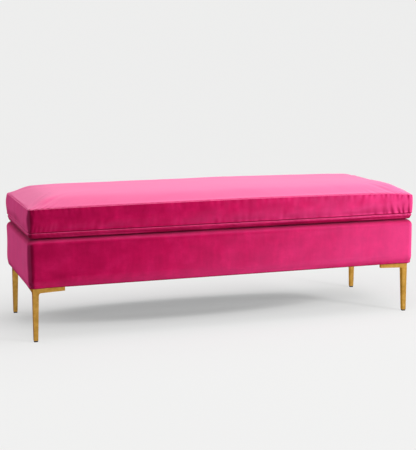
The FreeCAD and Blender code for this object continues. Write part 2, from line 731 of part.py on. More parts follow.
def seam_block(shift, high):
    """Everything above (or below) the upper seam of the cushion, moved up by a distance."""
    far, reach = size("bench_depth"), size("bench_width")
    wires = []
    for x, distance, draw in both_halves(0):
        z = value(CUSHION_LOW) + seam_height(x) + shift
        points = [Vector(x, -far, z), Vector(x, far, z), Vector(x, far, high), Vector(x, -far, high)]
        wires.append(Part.makePolygon(points + points[:1]))
    block = ruled_loft(wires)
    ends = []
    for wire, side in ((wires[0], -1), (wires[-1], 1)):
        ends.append(Part.Face(wire).extrude(Vector(side * reach, 0, 0)))
    return block.fuse(ends)


sky = value(CUSHION_LOW) + 3 * size("seam_high")
seam_half = size("seam_gap") / 2
lower_seam = value(CUSHION_LOW) + size("seam_low")
velvet = cushion_form(0).cut(cushion_form(size("cloth")))
above = seam_block(seam_half, sky)
above_boxing = seam_block(-seam_half, sky)
under_boxing = level_box(2 * half_width, 2 * half_depth, 0, lower_seam + seam_half)
under = level_box(2 * half_width, 2 * half_depth, 0, lower_seam - seam_half)
keep(soft("cushion_top_panel", velvet.common(above)), "cushion_top_panel")
keep(soft("cushion_bottom_panel", velvet.common(under)), "cushion_bottom_panel")

boxing = velvet.cut(above_boxing).cut(under_boxing)
strip_half = size("zip_length") / 2 + size("zip_end_cloth")
rear_face = value(CUSHION_REAR)
strip_front = rear_face - 2 * size("side_bulge") - size("cloth")


def rear_zone(half_x, low, high):
    return Part.makeBox(2 * half_x, 4 * size("zip_slit"), high - low, Vector(-half_x, strip_front, low))


slit = size("zip_slit") / 2
keep(soft("cushion_boxing", boxing.cut(rear_zone(strip_half + seam_half, 0, sky))), "cushion_boxing")
keep(soft("rear_boxing_upper", boxing.common(rear_zone(strip_half - seam_half, value(ZIP_Z) + slit, sky))),
     "rear_boxing_upper")
keep(soft("rear_boxing_lower", boxing.common(rear_zone(strip_half - seam_half, 0, value(ZIP_Z) - slit))),
     "rear_boxing_lower")

wrap_inset = size("cloth") + size("soft_gap")
core_inset = wrap_inset + size("wrap_thickness")
tape_half = size("zip_tape_width") / 2 + size("soft_gap")
tape_room = value(TAPE_FACE) - size("zip_tape_thickness") - size("soft_gap")
zip_room = Part.makeBox(size("zip_length") + 2 * size("zip_end_cloth"), size("bench_depth"), 2 * tape_half,
                        Vector(-strip_half, tape_room, value(ZIP_Z) - tape_half))
wrap = cushion_form(wrap_inset).cut(cushion_form(core_inset)).cut(zip_room)
keep(soft("cushion_wrap", wrap), "cushion_wrap")
keep(soft("cushion_core", cushion_form(core_inset + size("soft_gap"))), "cushion_core")


# Zip in the rear boxing

keep(box("zip_tape_strip", "-zip_length / 2 - stop_length", TAPE_FACE + " - zip_tape_thickness",
         ZIP_Z + " - zip_tape_width / 2",
         "zip_length + 2 * stop_length", "zip_tape_thickness", "zip_tape_width"),
     "zip_tape")
keep(box("zip_chain_strip", "-zip_length / 2", TAPE_FACE, ZIP_Z + " - chain_width / 2",
         "zip_length", "chain_height", "chain_width"), "zip_chain")
stops = [box("zip_stop_left", "-zip_length / 2 - stop_length", TAPE_FACE, ZIP_Z + " - chain_width / 2",
             "stop_length", "stop_height", "chain_width"),
         box("zip_stop_right", "zip_length / 2", TAPE_FACE, ZIP_Z + " - chain_width / 2",
             "stop_length", "stop_height", "chain_width")]
keep(compound("zip_stops", stops), "zip_end_stops")

SLIDER_X = "(zip_length / 2 - slider_clearance - slider_length / 2)"
SLIDER_Y = "(%s + chain_height + slider_clearance)" % TAPE_FACE
PIN_Y = "(%s + slider_plate + lug_height - pull_eye / 2)" % SLIDER_Y
SLIDER_END = SLIDER_X + " - slider_length / 2"
slider = [box("slider_plate_block", SLIDER_END, SLIDER_Y, ZIP_Z + " - slider_width / 2",
              "slider_length", "slider_plate", "slider_width")]
for side in (-1, 1):
    inner = "chain_width / 2 + slider_clearance"
    lip_z = ZIP_Z + (" + " + inner if side > 0 else " - slider_width / 2")
    slider.append(box("slider_lip%d" % (side + 1), SLIDER_END, SLIDER_Y + " - slider_lip", lip_z,
                      "slider_length", "slider_lip", "slider_width / 2 - (%s)" % inner))
    lug_z = ZIP_Z + (" + lug_gap / 2" if side > 0 else " - lug_gap / 2 - lug_thickness")
    slider.append(box("slider_lug%d" % (side + 1),
                      SLIDER_X + " - pull_eye / 2", SLIDER_Y + " + slider_plate", lug_z,
                      "pull_eye", "lug_height", "lug_thickness"))
slider.append(cylinder("slider_pin", SLIDER_X, PIN_Y, ZIP_Z + " - lug_gap / 2", "pull_pin / 2", "lug_gap"))
keep(fuse("slider_solid", slider), "zip_slider")

eye = cylinder("pull_eye_ring", SLIDER_X, PIN_Y, ZIP_Z + " - lug_gap / 2 + slider_clearance", "pull_eye / 2",
               "lug_gap - 2 * slider_clearance")
neck = box("pull_neck",
           SLIDER_X, PIN_Y + " - pull_thickness / 2", ZIP_Z + " - lug_gap / 2 + slider_clearance",
           "pull_eye", "pull_thickness", "lug_gap - 2 * slider_clearance")
tab = box("pull_tab_plate",
          SLIDER_X + " + pull_eye", PIN_Y + " - pull_thickness / 2", ZIP_Z + " - pull_width / 2",
          "pull_length", "pull_thickness", "pull_width")
pin_hole = cylinder("pull_hole", SLIDER_X, PIN_Y, ZIP_Z + " - lug_gap",
                    "pull_pin / 2 + pull_clearance", "2 * lug_gap")
keep(cut("pull_solid", fuse("pull_blank", [eye, neck, tab]), pin_hole), "zip_pull_tab")


# Check and write

doc.recompute()
for item in doc.Objects:
    if "Invalid" in item.State or "Error" in item.State:
        raise RuntimeError("%s did not compute: %s" % (item.Label, item.State))
for item in nodes:
    shape = item.Shape
    if shape.isNull() or not shape.isValid() or not shape.Solids:
        raise RuntimeError("%s has no valid solid" % item.Label)
for item in nodes:
    item.Shape.exportStep("parts/%s.step" % item.Label)
    print("%-28s %3d solids %12.0f mm3" % (item.Label, len(item.Shape.Solids), item.Shape.Volume))
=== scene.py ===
"""Upholstered bench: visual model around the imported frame.

Dimensions are in millimetres and become metres when a mesh is made. X runs along the bench, -Y is its
front and +Z is up. Corners are named by the signs of their x and y.
"""

import json
import math

import bpy
import numpy as np
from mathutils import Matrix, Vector


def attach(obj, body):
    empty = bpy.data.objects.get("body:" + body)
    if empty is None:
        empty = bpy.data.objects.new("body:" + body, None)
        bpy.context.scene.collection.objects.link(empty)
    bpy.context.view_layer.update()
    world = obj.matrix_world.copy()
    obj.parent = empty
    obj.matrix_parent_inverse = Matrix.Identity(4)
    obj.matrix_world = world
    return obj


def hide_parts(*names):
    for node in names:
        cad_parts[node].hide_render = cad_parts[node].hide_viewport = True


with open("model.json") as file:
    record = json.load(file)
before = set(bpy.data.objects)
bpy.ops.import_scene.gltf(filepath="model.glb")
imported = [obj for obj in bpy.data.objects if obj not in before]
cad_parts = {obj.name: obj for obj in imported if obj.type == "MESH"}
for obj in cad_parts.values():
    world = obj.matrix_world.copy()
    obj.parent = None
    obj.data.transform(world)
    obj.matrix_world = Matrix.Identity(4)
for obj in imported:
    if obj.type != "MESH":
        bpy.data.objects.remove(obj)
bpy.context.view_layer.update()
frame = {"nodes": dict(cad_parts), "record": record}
scene = bpy.context.scene
MM = 0.001


# Meshes from rings: closed rows of points round the bench, all with the same columns

ARC_STEPS = 10
TOP_BAND, BOTTOM_BAND = -1, -2
BORDER_PLACES = ((0, slice(None)), (slice(None), -1), (-1, slice(None)), (slice(None), 0))
FRONT, RIGHT, REAR, LEFT = range(4)


def add_piece(name, data):
    piece = bpy.data.objects.new(name, data)
    scene.collection.objects.link(piece)
    return piece


def mesh_piece(name, points, faces, smooth):
    """A piece from points in metres and faces, with a flag for each face that is shaded smooth."""
    mesh = bpy.data.meshes.new(name)
    mesh.from_pydata(points, [], faces)
    mesh.polygons.foreach_set("use_smooth", smooth)
    return add_piece(name, mesh)


def side_steps(length, fine, coarse, reach):
    """Places along a side, from 0 to 1: fine steps within a reach of both ends, coarse ones between."""
    places, at = [0.0], 0.0
    while at < length / 2:
        near = min(at / reach, 1)
        at += fine + (coarse - fine) * near ** 2
        places.append(at)
    half = np.array(places) * (length / 2 / places[-1])
    return np.concatenate([half, (length - half[::-1])[1:]]) / length


class Columns:
    """The columns of a set of rings: straight sides in turn with corner arcs, from the front left."""

    def __init__(self, half_x, half_y, radius, fine, coarse, reach, arcs=ARC_STEPS):
        long_steps = side_steps(2 * (half_x - radius), fine, coarse, reach)
        short_steps = side_steps(2 * (half_y - radius), fine, coarse, reach)
        self.arcs = arcs
        self.count_long, self.count_short = len(long_steps) - 1, len(short_steps) - 1
        side, share, arc = [], [], []
        for number, steps in zip((FRONT, RIGHT, REAR, LEFT), (long_steps, short_steps) * 2):
            for t in steps[:-1]:
                side.append(number), share.append(t), arc.append(False)
            for step in range(arcs):
                side.append(number), share.append(step / arcs), arc.append(True)
        self.side, self.share, self.arc = np.array(side), np.array(share), np.array(arc)
        self.count = len(side)
        x, y = self.ring(half_x, half_y, radius)
        step = np.hypot(np.roll(x, -1) - x, np.roll(y, -1) - y)
        self.along = np.concatenate([[0], np.cumsum(step)[:-1]])
        self.length = float(step.sum())
        self.x0, self.y0 = x, y

    def ring(self, half_x, half_y, radius):
        """Points of a rounded rectangle at every column."""
        side, t = self.side, self.share
        flat_x, flat_y = half_x - radius, half_y - radius
        x = np.choose(side, [-flat_x + 2 * flat_x * t, half_x + 0 * t,
                             flat_x - 2 * flat_x * t, -half_x + 0 * t])
        y = np.choose(side, [-half_y + 0 * t, -flat_y + 2 * flat_y * t,
                             half_y + 0 * t, flat_y - 2 * flat_y * t])
        angle = side * (math.pi / 2) - math.pi / 2 + t * math.pi / 2
        corner_x = np.choose(side, [flat_x, flat_x, -flat_x, -flat_x])
        corner_y = np.choose(side, [-flat_y, flat_y, flat_y, -flat_y])
        x = np.where(self.arc, corner_x + radius * np.cos(angle), x)
        y = np.where(self.arc, corner_y + radius * np.sin(angle), y)
        return x, y

    def borders(self):
        """Indices of a ring's points along the four sides of a grid that fills it."""
        half = self.arcs // 2
        wide, deep = self.count_long + self.arcs, self.count_short + self.arcs
        index = np.arange(self.count)

        def part(start, stop):
            return np.take(index, np.arange(start, stop + 1), mode="wrap")

        front = part(-half, wide - half)
        right = part(wide - half, wide - half + deep)
        rear = part(wide - half + deep, 2 * wide - half + deep)[::-1]
        left = part(2 * wide - half + deep, 2 * (wide + deep) - half)[::-1]
        return front, right, rear, left

    def from_corner(self, corner):
        """How far every column is from a corner of the cushion."""
        return np.hypot(self.x0 - corner[0] * HALF_X, self.y0 - corner[1] * HALF_Y)


def fill(columns, ring):
    """Points of a grid inside a ring (deep + 1, wide + 1, dims), its border the ring itself."""
    front, right, rear, left = (ring[i] for i in columns.borders())
    s = np.linspace(0, 1, len(front))[None, :, None]
    t = np.linspace(0, 1, len(right))[:, None, None]
    across = (1 - t) * front[None] + t * rear[None]
    along = (1 - s) * left[:, None] + s * right[:, None]
    corners = ((1 - s) * (1 - t) * front[0] + s * (1 - t) * front[-1]
               + (1 - s) * t * rear[0] + s * t * rear[-1])
    return across + along - corners


def grid_quads(index):
    """The faces between the points of a grid of indices."""
    return np.stack([index[:-1, :-1], index[:-1, 1:], index[1:, 1:], index[1:, :-1]], axis=-1).reshape(-1, 4)


def shell_mesh(name, columns, rows, top, bottom):
    """One closed piece from rows (rows, columns, 3) and the two grids that close it.

    Gives the piece and, for each face, the number of the row above it or the band of a closing grid.
    """
    count_rows, count = rows.shape[:2]
    grid = np.arange(count_rows * count).reshape(count_rows, count)
    right = np.roll(grid, -1, axis=1)
    quads = [np.stack([grid[:-1], grid[1:], right[1:], right[:-1]], axis=-1).reshape(-1, 4)]
    points = [rows.reshape(-1, 3)]
    start = count_rows * count
    bands = [np.repeat(np.arange(count_rows - 1), count)]
    for patch, row, turned, band in ((top, 0, False, TOP_BAND), (bottom, count_rows - 1, True, BOTTOM_BAND)):
        number = np.full(patch.shape[:2], -1)
        for border, place in zip(columns.borders(), BORDER_PLACES):
            number[place] = grid[row][border]
        inside = number < 0
        number[inside] = start + np.arange(inside.sum())
        start += int(inside.sum())
        points.append(patch[inside])
        quad = grid_quads(number)
        quads.append(quad[:, ::-1] if turned else quad)
        bands.append(np.full(len(quad), band))
    vertices = np.concatenate(points) * MM
    faces = np.concatenate(quads)
    mesh = bpy.data.meshes.new(name)
    mesh.vertices.add(len(vertices))
    mesh.vertices.foreach_set("co", vertices.astype(np.float32).ravel())
    mesh.loops.add(faces.size)
    mesh.loops.foreach_set("vertex_index", faces.astype(np.int32).ravel())
    mesh.polygons.add(len(faces))
    mesh.polygons.foreach_set("loop_start", (np.arange(len(faces)) * 4).astype(np.int32))
    mesh.update(calc_edges=True)
    mesh.validate()
    mesh.polygons.foreach_set("use_smooth", np.ones(len(faces), bool))
    return add_piece(name, mesh), np.concatenate(bands)


# Shape helpers

def smooth_step(t):
    t = np.clip(t, 0, 1)
    return t * t * (3 - 2 * t)


def bell(t):
    return np.exp(-t ** 2)


def normals(rows):
    """Outward directions of a set of rows."""
    along = np.roll(rows, -1, axis=1) - np.roll(rows, 1, axis=1)
    down = np.gradient(rows, axis=0)
    out = np.cross(down, along)
    return out / np.maximum(np.linalg.norm(out, axis=-1, keepdims=True), 1e-9)


NOISE_ROWS, NOISE_START, NOISE_GAIN = 64, 7.3, 1.6


def wave_noise(u, v, length, scale_u, scale_v, seed):
    """Smooth noise from about -1 to 1 on arrays u and v, repeating in u after a length."""
    count = max(int(round(length / scale_u)), 1)
    table = np.random.default_rng(seed).uniform(-1, 1, (count, NOISE_ROWS))
    a, b = (u / length) * count, v / scale_v + NOISE_START
    i, j = np.floor(a).astype(int), np.floor(b).astype(int)
    fa, fb = (f * f * f * (f * (6 * f - 15) + 10) for f in (a - i, b - j))

    def across(j):
        return table[i % count, j % NOISE_ROWS] * (1 - fa) + table[(i + 1) % count, j % NOISE_ROWS] * fa

    return NOISE_GAIN * (across(j) * (1 - fb) + across(j + 1) * fb)


def blurred(field, times):
    """A field on the rows, evened out along and across them."""
    for _ in range(times):
        field = (2 * field + np.roll(field, 1, axis=1) + np.roll(field, -1, axis=1)) / 4
        padded = np.concatenate([field[:1], field, field[-1:]])
        field = (2 * field + padded[:-2] + padded[2:]) / 4
    return field


# Sizes of the cushion, and of the base that it lies on

HALF_X, HALF_Y, MIDDLE_Y = 686.0, 228.5, -2.5
BULGE, SEAM_RADIUS, BULGE_RADIUS = 4.5, 13.0, 9.0
SEAM_X, SEAM_Y = HALF_X - BULGE, HALF_Y - BULGE
SEAM_LOW, SEAM_TOP, ZIP_Z = 354.8, 435.2, 396.65
TALL, ZIP_DROP = SEAM_TOP - SEAM_LOW, SEAM_TOP - ZIP_Z
TURN_IN, TURN_UP = 9.0, 21.0
SLIT_X, SLIT_HALF, SLIT_Y, ZIP_SEAM_X = 605.0, 4.0, 222.4, 620.0
BASE_X, BASE_Y, BASE_TOP, BASE_LOW = 686.0, 231.0, 335.5, 178.9
BASE_RADIUS, TOP_ROUND = 21.0, 20.0

# The gap under the cushion: its least height, and a mouth that opens over a stretch near the outside
CLEAR, LEAST_CLEAR, MOUTH, MOUTH_START, MOUTH_DEPTH = 0.45, 0.3, 3.0, 15, 16


def shoulder(x, y, clear, mouth=0.0):
    """Height above the rounded top of the base, a clearance over it that opens to the outside."""
    side, end = np.abs(x) - (BASE_X - BASE_RADIUS), np.abs(y) - (BASE_Y - BASE_RADIUS)
    round_corner = np.hypot(np.maximum(side, 0), np.maximum(end, 0))
    inset = BASE_RADIUS - round_corner - np.minimum(np.maximum(side, end), 0)
    share = np.clip(1 - inset / TOP_ROUND, 0, 1)
    opening = clear + mouth * (1 - smooth_step((inset - MOUTH_START) / MOUTH_DEPTH))
    return BASE_TOP - TOP_ROUND * (1 - np.sqrt(1 - share ** 2)) + opening


SEAM_FALL_RIGHT, SEAM_FALL_LEFT, CORNER_REACH = 1.37e-5, 0.77e-5, 55
CORNER_DROPS = {(1, -1): 7.0, (1, 1): 4.0, (-1, -1): 0.8, (-1, 1): 0.8}


def seam_high(x, y):
    """Height of the upper seam: it drops towards the ends, most at the front right corner."""
    fall = np.where(x > 0, SEAM_FALL_RIGHT, SEAM_FALL_LEFT) * x ** 2
    for (sx, sy), drop in CORNER_DROPS.items():
        away = np.hypot(x - sx * HALF_X, y - MIDDLE_Y - sy * HALF_Y)
        fall = fall + drop * bell(away / CORNER_REACH)
    return SEAM_TOP - fall


# The crown: height, arch along the bench, reach of the slopes at the ends and at the long edges
CROWN, CROWN_ARCH, END_REACH, END_POWER, EDGE_REACH, CORNER_BLEND = 27.7, 3.1, 71, 1.42, 66, 10
DENT_DEPTH, DENT_REACH, DENT_LONG, DENT_DEEP, DENT_SEED = 0.9, 70, 190, 120, 23


def crown(x, y, inset):
    """Rise of the top panel above its seam."""
    near = smooth_step(inset / CORNER_BLEND)
    end = inset + (SEAM_X - np.abs(x) - inset) * near
    edge = inset + (SEAM_Y - np.abs(y - MIDDLE_Y) - inset) * near
    height = CROWN + CROWN_ARCH * (1 - (x / HALF_X) ** 2)
    end_share = (1 - (1 - np.clip(end / END_REACH, 0, 1)) ** END_POWER) ** (1 / END_POWER)
    edge_share = 1 - (1 - np.clip(edge / EDGE_REACH, 0, 1)) ** 2
    dents = DENT_DEPTH * wave_noise(x + HALF_X, y + HALF_Y, 2 * HALF_X, DENT_LONG, DENT_DEEP, DENT_SEED)
    return dents * smooth_step(np.minimum(end, edge) / DENT_REACH) + height * end_share * edge_share


# Rows of the cushion: insets from the upper seam, drops below it, angles of the turn under, insets below
TOP_INSETS = [150, 130, 112, 95, 80, 66, 54, 43, 34, 26, 20, 15, 11, 8, 5.6, 3.8, 2.4, 1.3, 0.6, 0]
SIDE_DROPS = [0.6, 1.3, 2.4, 3.8, 6, 9, 13]
ZIP_STEPS = [0.9, 2.4, 3.5, 4.1, 4.6, 5.4, 6.8, 8.4]
TURN_ANGLES = [1.8, 4, 7.5, 12, 18, 25, 33, 42, 51, 60, 69, 77, 84, 90]
LOW_INSETS = [8.5, 10, 12, 14.5, 17.5, 21, 27, 36, 48, 64, 86, 114, 150]
COARSE_DROPS = [6, 14, 24, 33, ZIP_DROP, 51, 60, 70, 78]
COARSE_ANGLES, COARSE_LOW_INSETS = [20, 45, 70, 90], [12, 21, 48, 86, 150]
INSET_ROUNDING, TURN_ROUNDING, BULGE_POWER, UNDER_START = 0.35, 0.5, 0.75, 15


def fine_drops():
    """Drops below the upper seam, close together at the seams and round the zip."""
    drops = SIDE_DROPS + list(np.linspace(SIDE_DROPS[-1], ZIP_DROP - ZIP_STEPS[-1], 5)[1:-1])
    drops += [ZIP_DROP - d for d in reversed(ZIP_STEPS)] + [ZIP_DROP + d for d in ZIP_STEPS]
    drops += list(np.linspace(ZIP_DROP + ZIP_STEPS[-1], TALL - SIDE_DROPS[-1], 6)[1:-1])
    return drops + [TALL - d for d in reversed(SIDE_DROPS)]


def cushion_rows(columns, coarse=False):
    """Rows of the cushion from the inner ring of the top, over the edge, to the inner ring below.

    Gives the points and, for each row, the distances from the upper and from the lower seam.
    """
    insets, drops, angles, lows = TOP_INSETS, fine_drops(), TURN_ANGLES, LOW_INSETS
    if coarse:
        insets, drops = TOP_INSETS[:-1:2] + [0], COARSE_DROPS
        angles, lows = COARSE_ANGLES, COARSE_LOW_INSETS
    rows, from_high, from_low = [], [], []

    def ring(out, radius):
        x, y = columns.ring(SEAM_X + out, SEAM_Y + out, radius)
        return x, y + MIDDLE_Y

    def add(x, y, z, high, low):
        rows.append(np.stack([x, y, z + 0 * x], axis=-1))
        from_high.append(high), from_low.append(low)

    for inset in insets:
        x, y = ring(-inset, SEAM_RADIUS + INSET_ROUNDING * inset)
        add(x, y, seam_high(x, y) + crown(x, y, inset), -inset, -inset - TALL)
    for drop in drops:
        out = BULGE * math.sin(math.pi * (drop / TALL)) ** BULGE_POWER
        x, y = ring(out, SEAM_RADIUS + BULGE_RADIUS * out / BULGE)
        if drop < ZIP_DROP:
            high = seam_high(x, y)
            z = high - (high - ZIP_Z) * drop / ZIP_DROP
        else:
            z = ZIP_Z - (ZIP_Z - SEAM_LOW) * (drop - ZIP_DROP) / (TALL - ZIP_DROP)
        add(x, y, z, drop, drop - TALL)
    for turn in map(math.radians, [0] + angles):
        inset = TURN_IN * (1 - math.cos(turn))
        x, y = ring(-inset, SEAM_RADIUS + TURN_ROUNDING * inset)
        z = np.maximum(SEAM_LOW - TURN_UP * math.sin(turn), shoulder(x, y, CLEAR, MOUTH))
        reach = turn * (TURN_IN + TURN_UP) / 2
        add(x, y, z, TALL + reach, reach)
    for inset in lows:
        x, y = ring(-inset, SEAM_RADIUS + INSET_ROUNDING * inset)
        add(x, y, shoulder(x, y, CLEAR, MOUTH), TALL + inset + UNDER_START, inset + UNDER_START)
    return np.stack(rows), np.array(from_high), np.array(from_low)


PATCH_INSET = 20


def crown_patch(columns, rows):
    """The grid that closes the top, with its height from the crown itself."""
    patch = fill(columns, rows[0])
    x, y = patch[..., 0], patch[..., 1]
    inset = np.minimum(SEAM_X - np.abs(x), SEAM_Y - np.abs(y - MIDDLE_Y))
    patch[..., 2] = seam_high(x, y) + crown(x, y, np.maximum(inset, PATCH_INSET))
    return patch


# Cloth: a coarse copy of the cushion is blown up, and the fine one takes over how it moved

CLOTH_FRAMES, CLOTH_QUALITY, MOVE_LIMIT, MOVE_BLUR = 20, 5, 6.0, 6
CLOTH_MASS, STRETCH, SHEAR, BEND, PRESSURE, HELD_UNDER = 0.3, 18, 8, 1.5, 4, 22


def inflate(columns, rows, top, bottom, held_rows):
    """Blow a coarse shell up as cloth and give back how far its rows and its top grid moved."""
    piece, _ = shell_mesh("cushion_cloth", columns, rows, top, bottom)
    count, wide = rows.shape[0] * rows.shape[1], rows.shape[1]
    held = [number for row in held_rows for number in range(row * wide, (row + 1) * wide)]
    inside_shape = (top.shape[0] - 2, top.shape[1] - 2, 3)
    top_inside = inside_shape[0] * inside_shape[1]
    held += range(count + top_inside, len(piece.data.vertices))
    piece.vertex_groups.new(name="held").add(held, 1.0, "REPLACE")
    start = np.empty(len(piece.data.vertices) * 3, np.float32)
    piece.data.vertices.foreach_get("co", start)
    cloth = piece.modifiers.new("Cloth", "CLOTH")
    settings = cloth.settings
    settings.quality = CLOTH_QUALITY
    settings.mass = CLOTH_MASS
    settings.tension_stiffness = settings.compression_stiffness = STRETCH
    settings.shear_stiffness = SHEAR
    settings.bending_stiffness = BEND
    settings.vertex_group_mass = "held"
    settings.use_pressure = True
    settings.uniform_pressure_force = PRESSURE
    settings.effector_weights.gravity = 0
    cloth.collision_settings.use_collision = False
    cloth.point_cache.frame_start = 1
    cloth.point_cache.frame_end = CLOTH_FRAMES
    for number in range(1, CLOTH_FRAMES + 1):
        scene.frame_set(number)
    bpy.context.view_layer.update()
    final = piece.evaluated_get(bpy.context.evaluated_depsgraph_get())
    end = np.empty_like(start)
    final.data.vertices.foreach_get("co", end)
    moved = (end - start).reshape(-1, 3) / MM
    scene.frame_set(1)
    mesh = piece.data
    bpy.data.objects.remove(piece)
    bpy.data.meshes.remove(mesh)
    inner = np.zeros(top.shape)
    inner[1:-1, 1:-1] = moved[count:count + top_inside].reshape(inside_shape)
    ring = moved[:count].reshape(rows.shape)
    for border, place in zip(columns.borders(), BORDER_PLACES):
        inner[place] = ring[0][border]
    return ring, inner


def capped(move):
    length = np.linalg.norm(move, axis=-1, keepdims=True)
    return move * np.minimum(1, MOVE_LIMIT / np.maximum(length, 1e-9))


def read_along(places, known, field):
    """A field read at new places along its first axis by straight lines."""
    flat = field.reshape(len(known), -1)
    lines = [np.interp(places, known, flat[:, k]) for k in range(flat.shape[1])]
    return np.stack(lines, axis=-1).reshape((len(places),) + field.shape[1:])


def resampled(field, old_rows, new_rows, old_columns, new_columns):
    """A field on one set of rows and columns, read on another."""
    order = np.argsort(old_rows)
    lines = read_along(new_rows, old_rows[order], field[order])
    closed = np.concatenate([lines, lines[:, :1]], axis=1).swapaxes(0, 1)
    wrapped = np.concatenate([old_columns.along, [old_columns.length]]) / old_columns.length
    return read_along(new_columns.along / new_columns.length, wrapped, closed).swapaxes(0, 1)


def regridded(patch, deep, wide):
    """A field on a grid, read on a grid of another size."""
    half = read_along(np.linspace(0, patch.shape[0] - 1, deep), np.arange(patch.shape[0]), patch)
    places = np.linspace(0, patch.shape[1] - 1, wide)
    return read_along(places, np.arange(patch.shape[1]), half.swapaxes(0, 1)).swapaxes(0, 1)


def puffed(columns, rows, top, from_high):
    """The fine rows and top after the cloth simulation of a coarse copy, which the seams hold."""
    plain = Columns(SEAM_X, SEAM_Y, SEAM_RADIUS, 9.0, 13.0, 200, arcs=4)
    plain_rows, plain_high, plain_low = cushion_rows(plain, coarse=True)
    underneath = plain_low > HELD_UNDER
    at_low, at_high = np.abs(plain_low) < 1, np.abs(plain_high) < 0.5
    held = [int(row) for row in np.flatnonzero(underneath | at_low | at_high)]
    plain_top, plain_bottom = crown_patch(plain, plain_rows), fill(plain, plain_rows[-1])
    ring, inner = inflate(plain, plain_rows, plain_top, plain_bottom, held)
    move = blurred(resampled(capped(ring), plain_high, from_high, plain, columns), MOVE_BLUR)
    inner = regridded(capped(inner), *top.shape[:2])
    rest = np.zeros((columns.count, 3))
    for border, place in zip(columns.borders(), BORDER_PLACES):
        rest[border] = move[0][border] - inner[place]
    return rows + move, top + inner + fill(columns, rest)


# Seams and folds

SEAM_WIDTH, LIP_WIDTH, LIP_REACH = 1.0, 2.0, 3.4

# Seams: depth of the groove, rise of the lips and, where it isn't the usual one, their reach
HIGH_SEAM, LOW_SEAM, CROSS_SEAM = (1.7, 0.45), (1.7, 1.2, 4.0), (1.4, 0.6)

RIDGE_SHARE, RIDGE_REACH = 0.45, 2.1
NEAR_CORNER, FREE_WIDTH, NEVER = 90, 2.5, 1e9

# For each kind of gather: spacing near and far from a corner, depth far and near, length, seed
LOW_GATHERS = (15, 38, 0.35, 0.75, 26, 3)
HIGH_GATHERS = (10, 24, 0.3, 0.95, 17, 4)
PANEL_GATHERS = (8, 15, 0.4, 1.2, 15, 5)
UNDER_GATHERS = (9, 20, 0.25, 0.7, 12, 6)
HEM_GATHERS = (26, 60, 0.3, 1.3, 20, 34)

# How much the cloth is gathered at each corner of the cushion and of the base
GATHERED = {(1, -1): 1.0, (1, 1): 0.9, (-1, -1): 0.6, (-1, 1): 0.7}
HEM_GATHERED = {(1, -1): 1.3, (1, 1): 1, (-1, -1): 1, (-1, 1): 1}

# Deep folds beside a corner: distance from it, depth, width, length, lean; and their share at each corner
CORNER_FOLDS = [(17, 2.6, 6.0, 34, 0.10), (36, 1.2, 4.2, 15, -0.10), (52, 1.9, 5.4, 24, -0.26),
                (81, 1.3, 5.6, 27, -0.16), (113, 0.9, 6.5, 20, -0.10), (150, 0.8, 8.0, 30, 0.04)]
FOLDED = {(1, -1): 0.72, (1, 1): 0.65, (-1, -1): 0.12, (-1, 1): 0.45}


def seam_relief(distance, depth, lip, reach=LIP_REACH):
    """A stitched seam: a narrow groove between two rolled lips."""
    return -depth * bell(distance / SEAM_WIDTH) + lip * bell((np.abs(distance) - reach) / LIP_WIDTH)


def gathers(columns, from_seam, reach, spots):
    """Folds that run from a seam: each has a place, a depth, a width, a length and a lean."""
    field = np.zeros((len(from_seam), columns.count))
    away = np.abs(from_seam)[:, None]
    for place, depth, width, length, lean in spots:
        shift = columns.along[None] - place - lean * away
        shift = (shift + columns.length / 2) % columns.length - columns.length / 2
        fade = bell(away / length) * smooth_step((away + 1.5) / 3) * (away < reach)
        ridges = bell((shift - RIDGE_REACH * width) / width) + bell((shift + RIDGE_REACH * width) / width)
        field += depth * fade * (RIDGE_SHARE * ridges - bell(shift / width))
    return field


def gather_spots(columns, corners, dense, far, depth, near_depth, length, seed):
    """Random places for folds, close together and deep near the corners, sparse between them."""
    draw = np.random.default_rng(seed)
    spots, at = [], 0.0
    while at < columns.length:
        number = int(np.argmin(np.abs(columns.along - at)))
        nearest, push = NEVER, 1.0
        for corner, weight in corners.items():
            away = float(columns.from_corner(corner)[number])
            if away < nearest:
                nearest, push = away, weight
        near = math.exp(-nearest / NEAR_CORNER)
        spots.append((at, (depth + (near_depth * push - depth) * near) * draw.uniform(0.4, 1.3),
                      draw.uniform(2.2, 4.2) + FREE_WIDTH * (1 - near), length * draw.uniform(0.5, 1.3),
                      draw.uniform(-0.16, 0.16)))
        at += (dense + (far - dense) * (1 - near)) * draw.uniform(0.6, 1.5)
    return spots


def corner_folds(columns, corner, weight):
    """The deep folds on both sides of a corner, where the boxing is eased round it."""
    at = columns.along[np.argmin(columns.from_corner(corner))]
    return [((at + sign * place) % columns.length, depth * weight, width, reach, sign * -lean)
            for place, depth, width, reach, lean in CORNER_FOLDS for sign in (-1, 1)]


# Reaches of the folds on the side, the top panel and the underside, and of the streaks at a corner
SIDE_REACH, PANEL_REACH, UNDER_REACH, STREAK_REACH = 84, 60, 30, 150

# Unevenness of the cushion: scale along, scale down and seed of each noise, and their rises
BROAD, MIDDLING, STREAKS = (120, 45, 21), (42, 30, 22), (26, 160, 24)
BROAD_RISE, MIDDLING_RISE, CALM_REACH, PANEL_SHARE, NOISE_LOW_LIMIT = 0.9, 0.35, 12, 0.45, 12

# The flat strips beside the zip: place, height and width of the folded lip and of its stitches
STRIP_HALF, SLIT_EDGE = 30, 0.3
LIP_AT, LIP_RISE, LIP_SPREAD = 5.6, 0.5, 1.1
STITCH_AT, STITCH_DEPTH, STITCH_SPREAD = 8.4, 0.3, 0.8


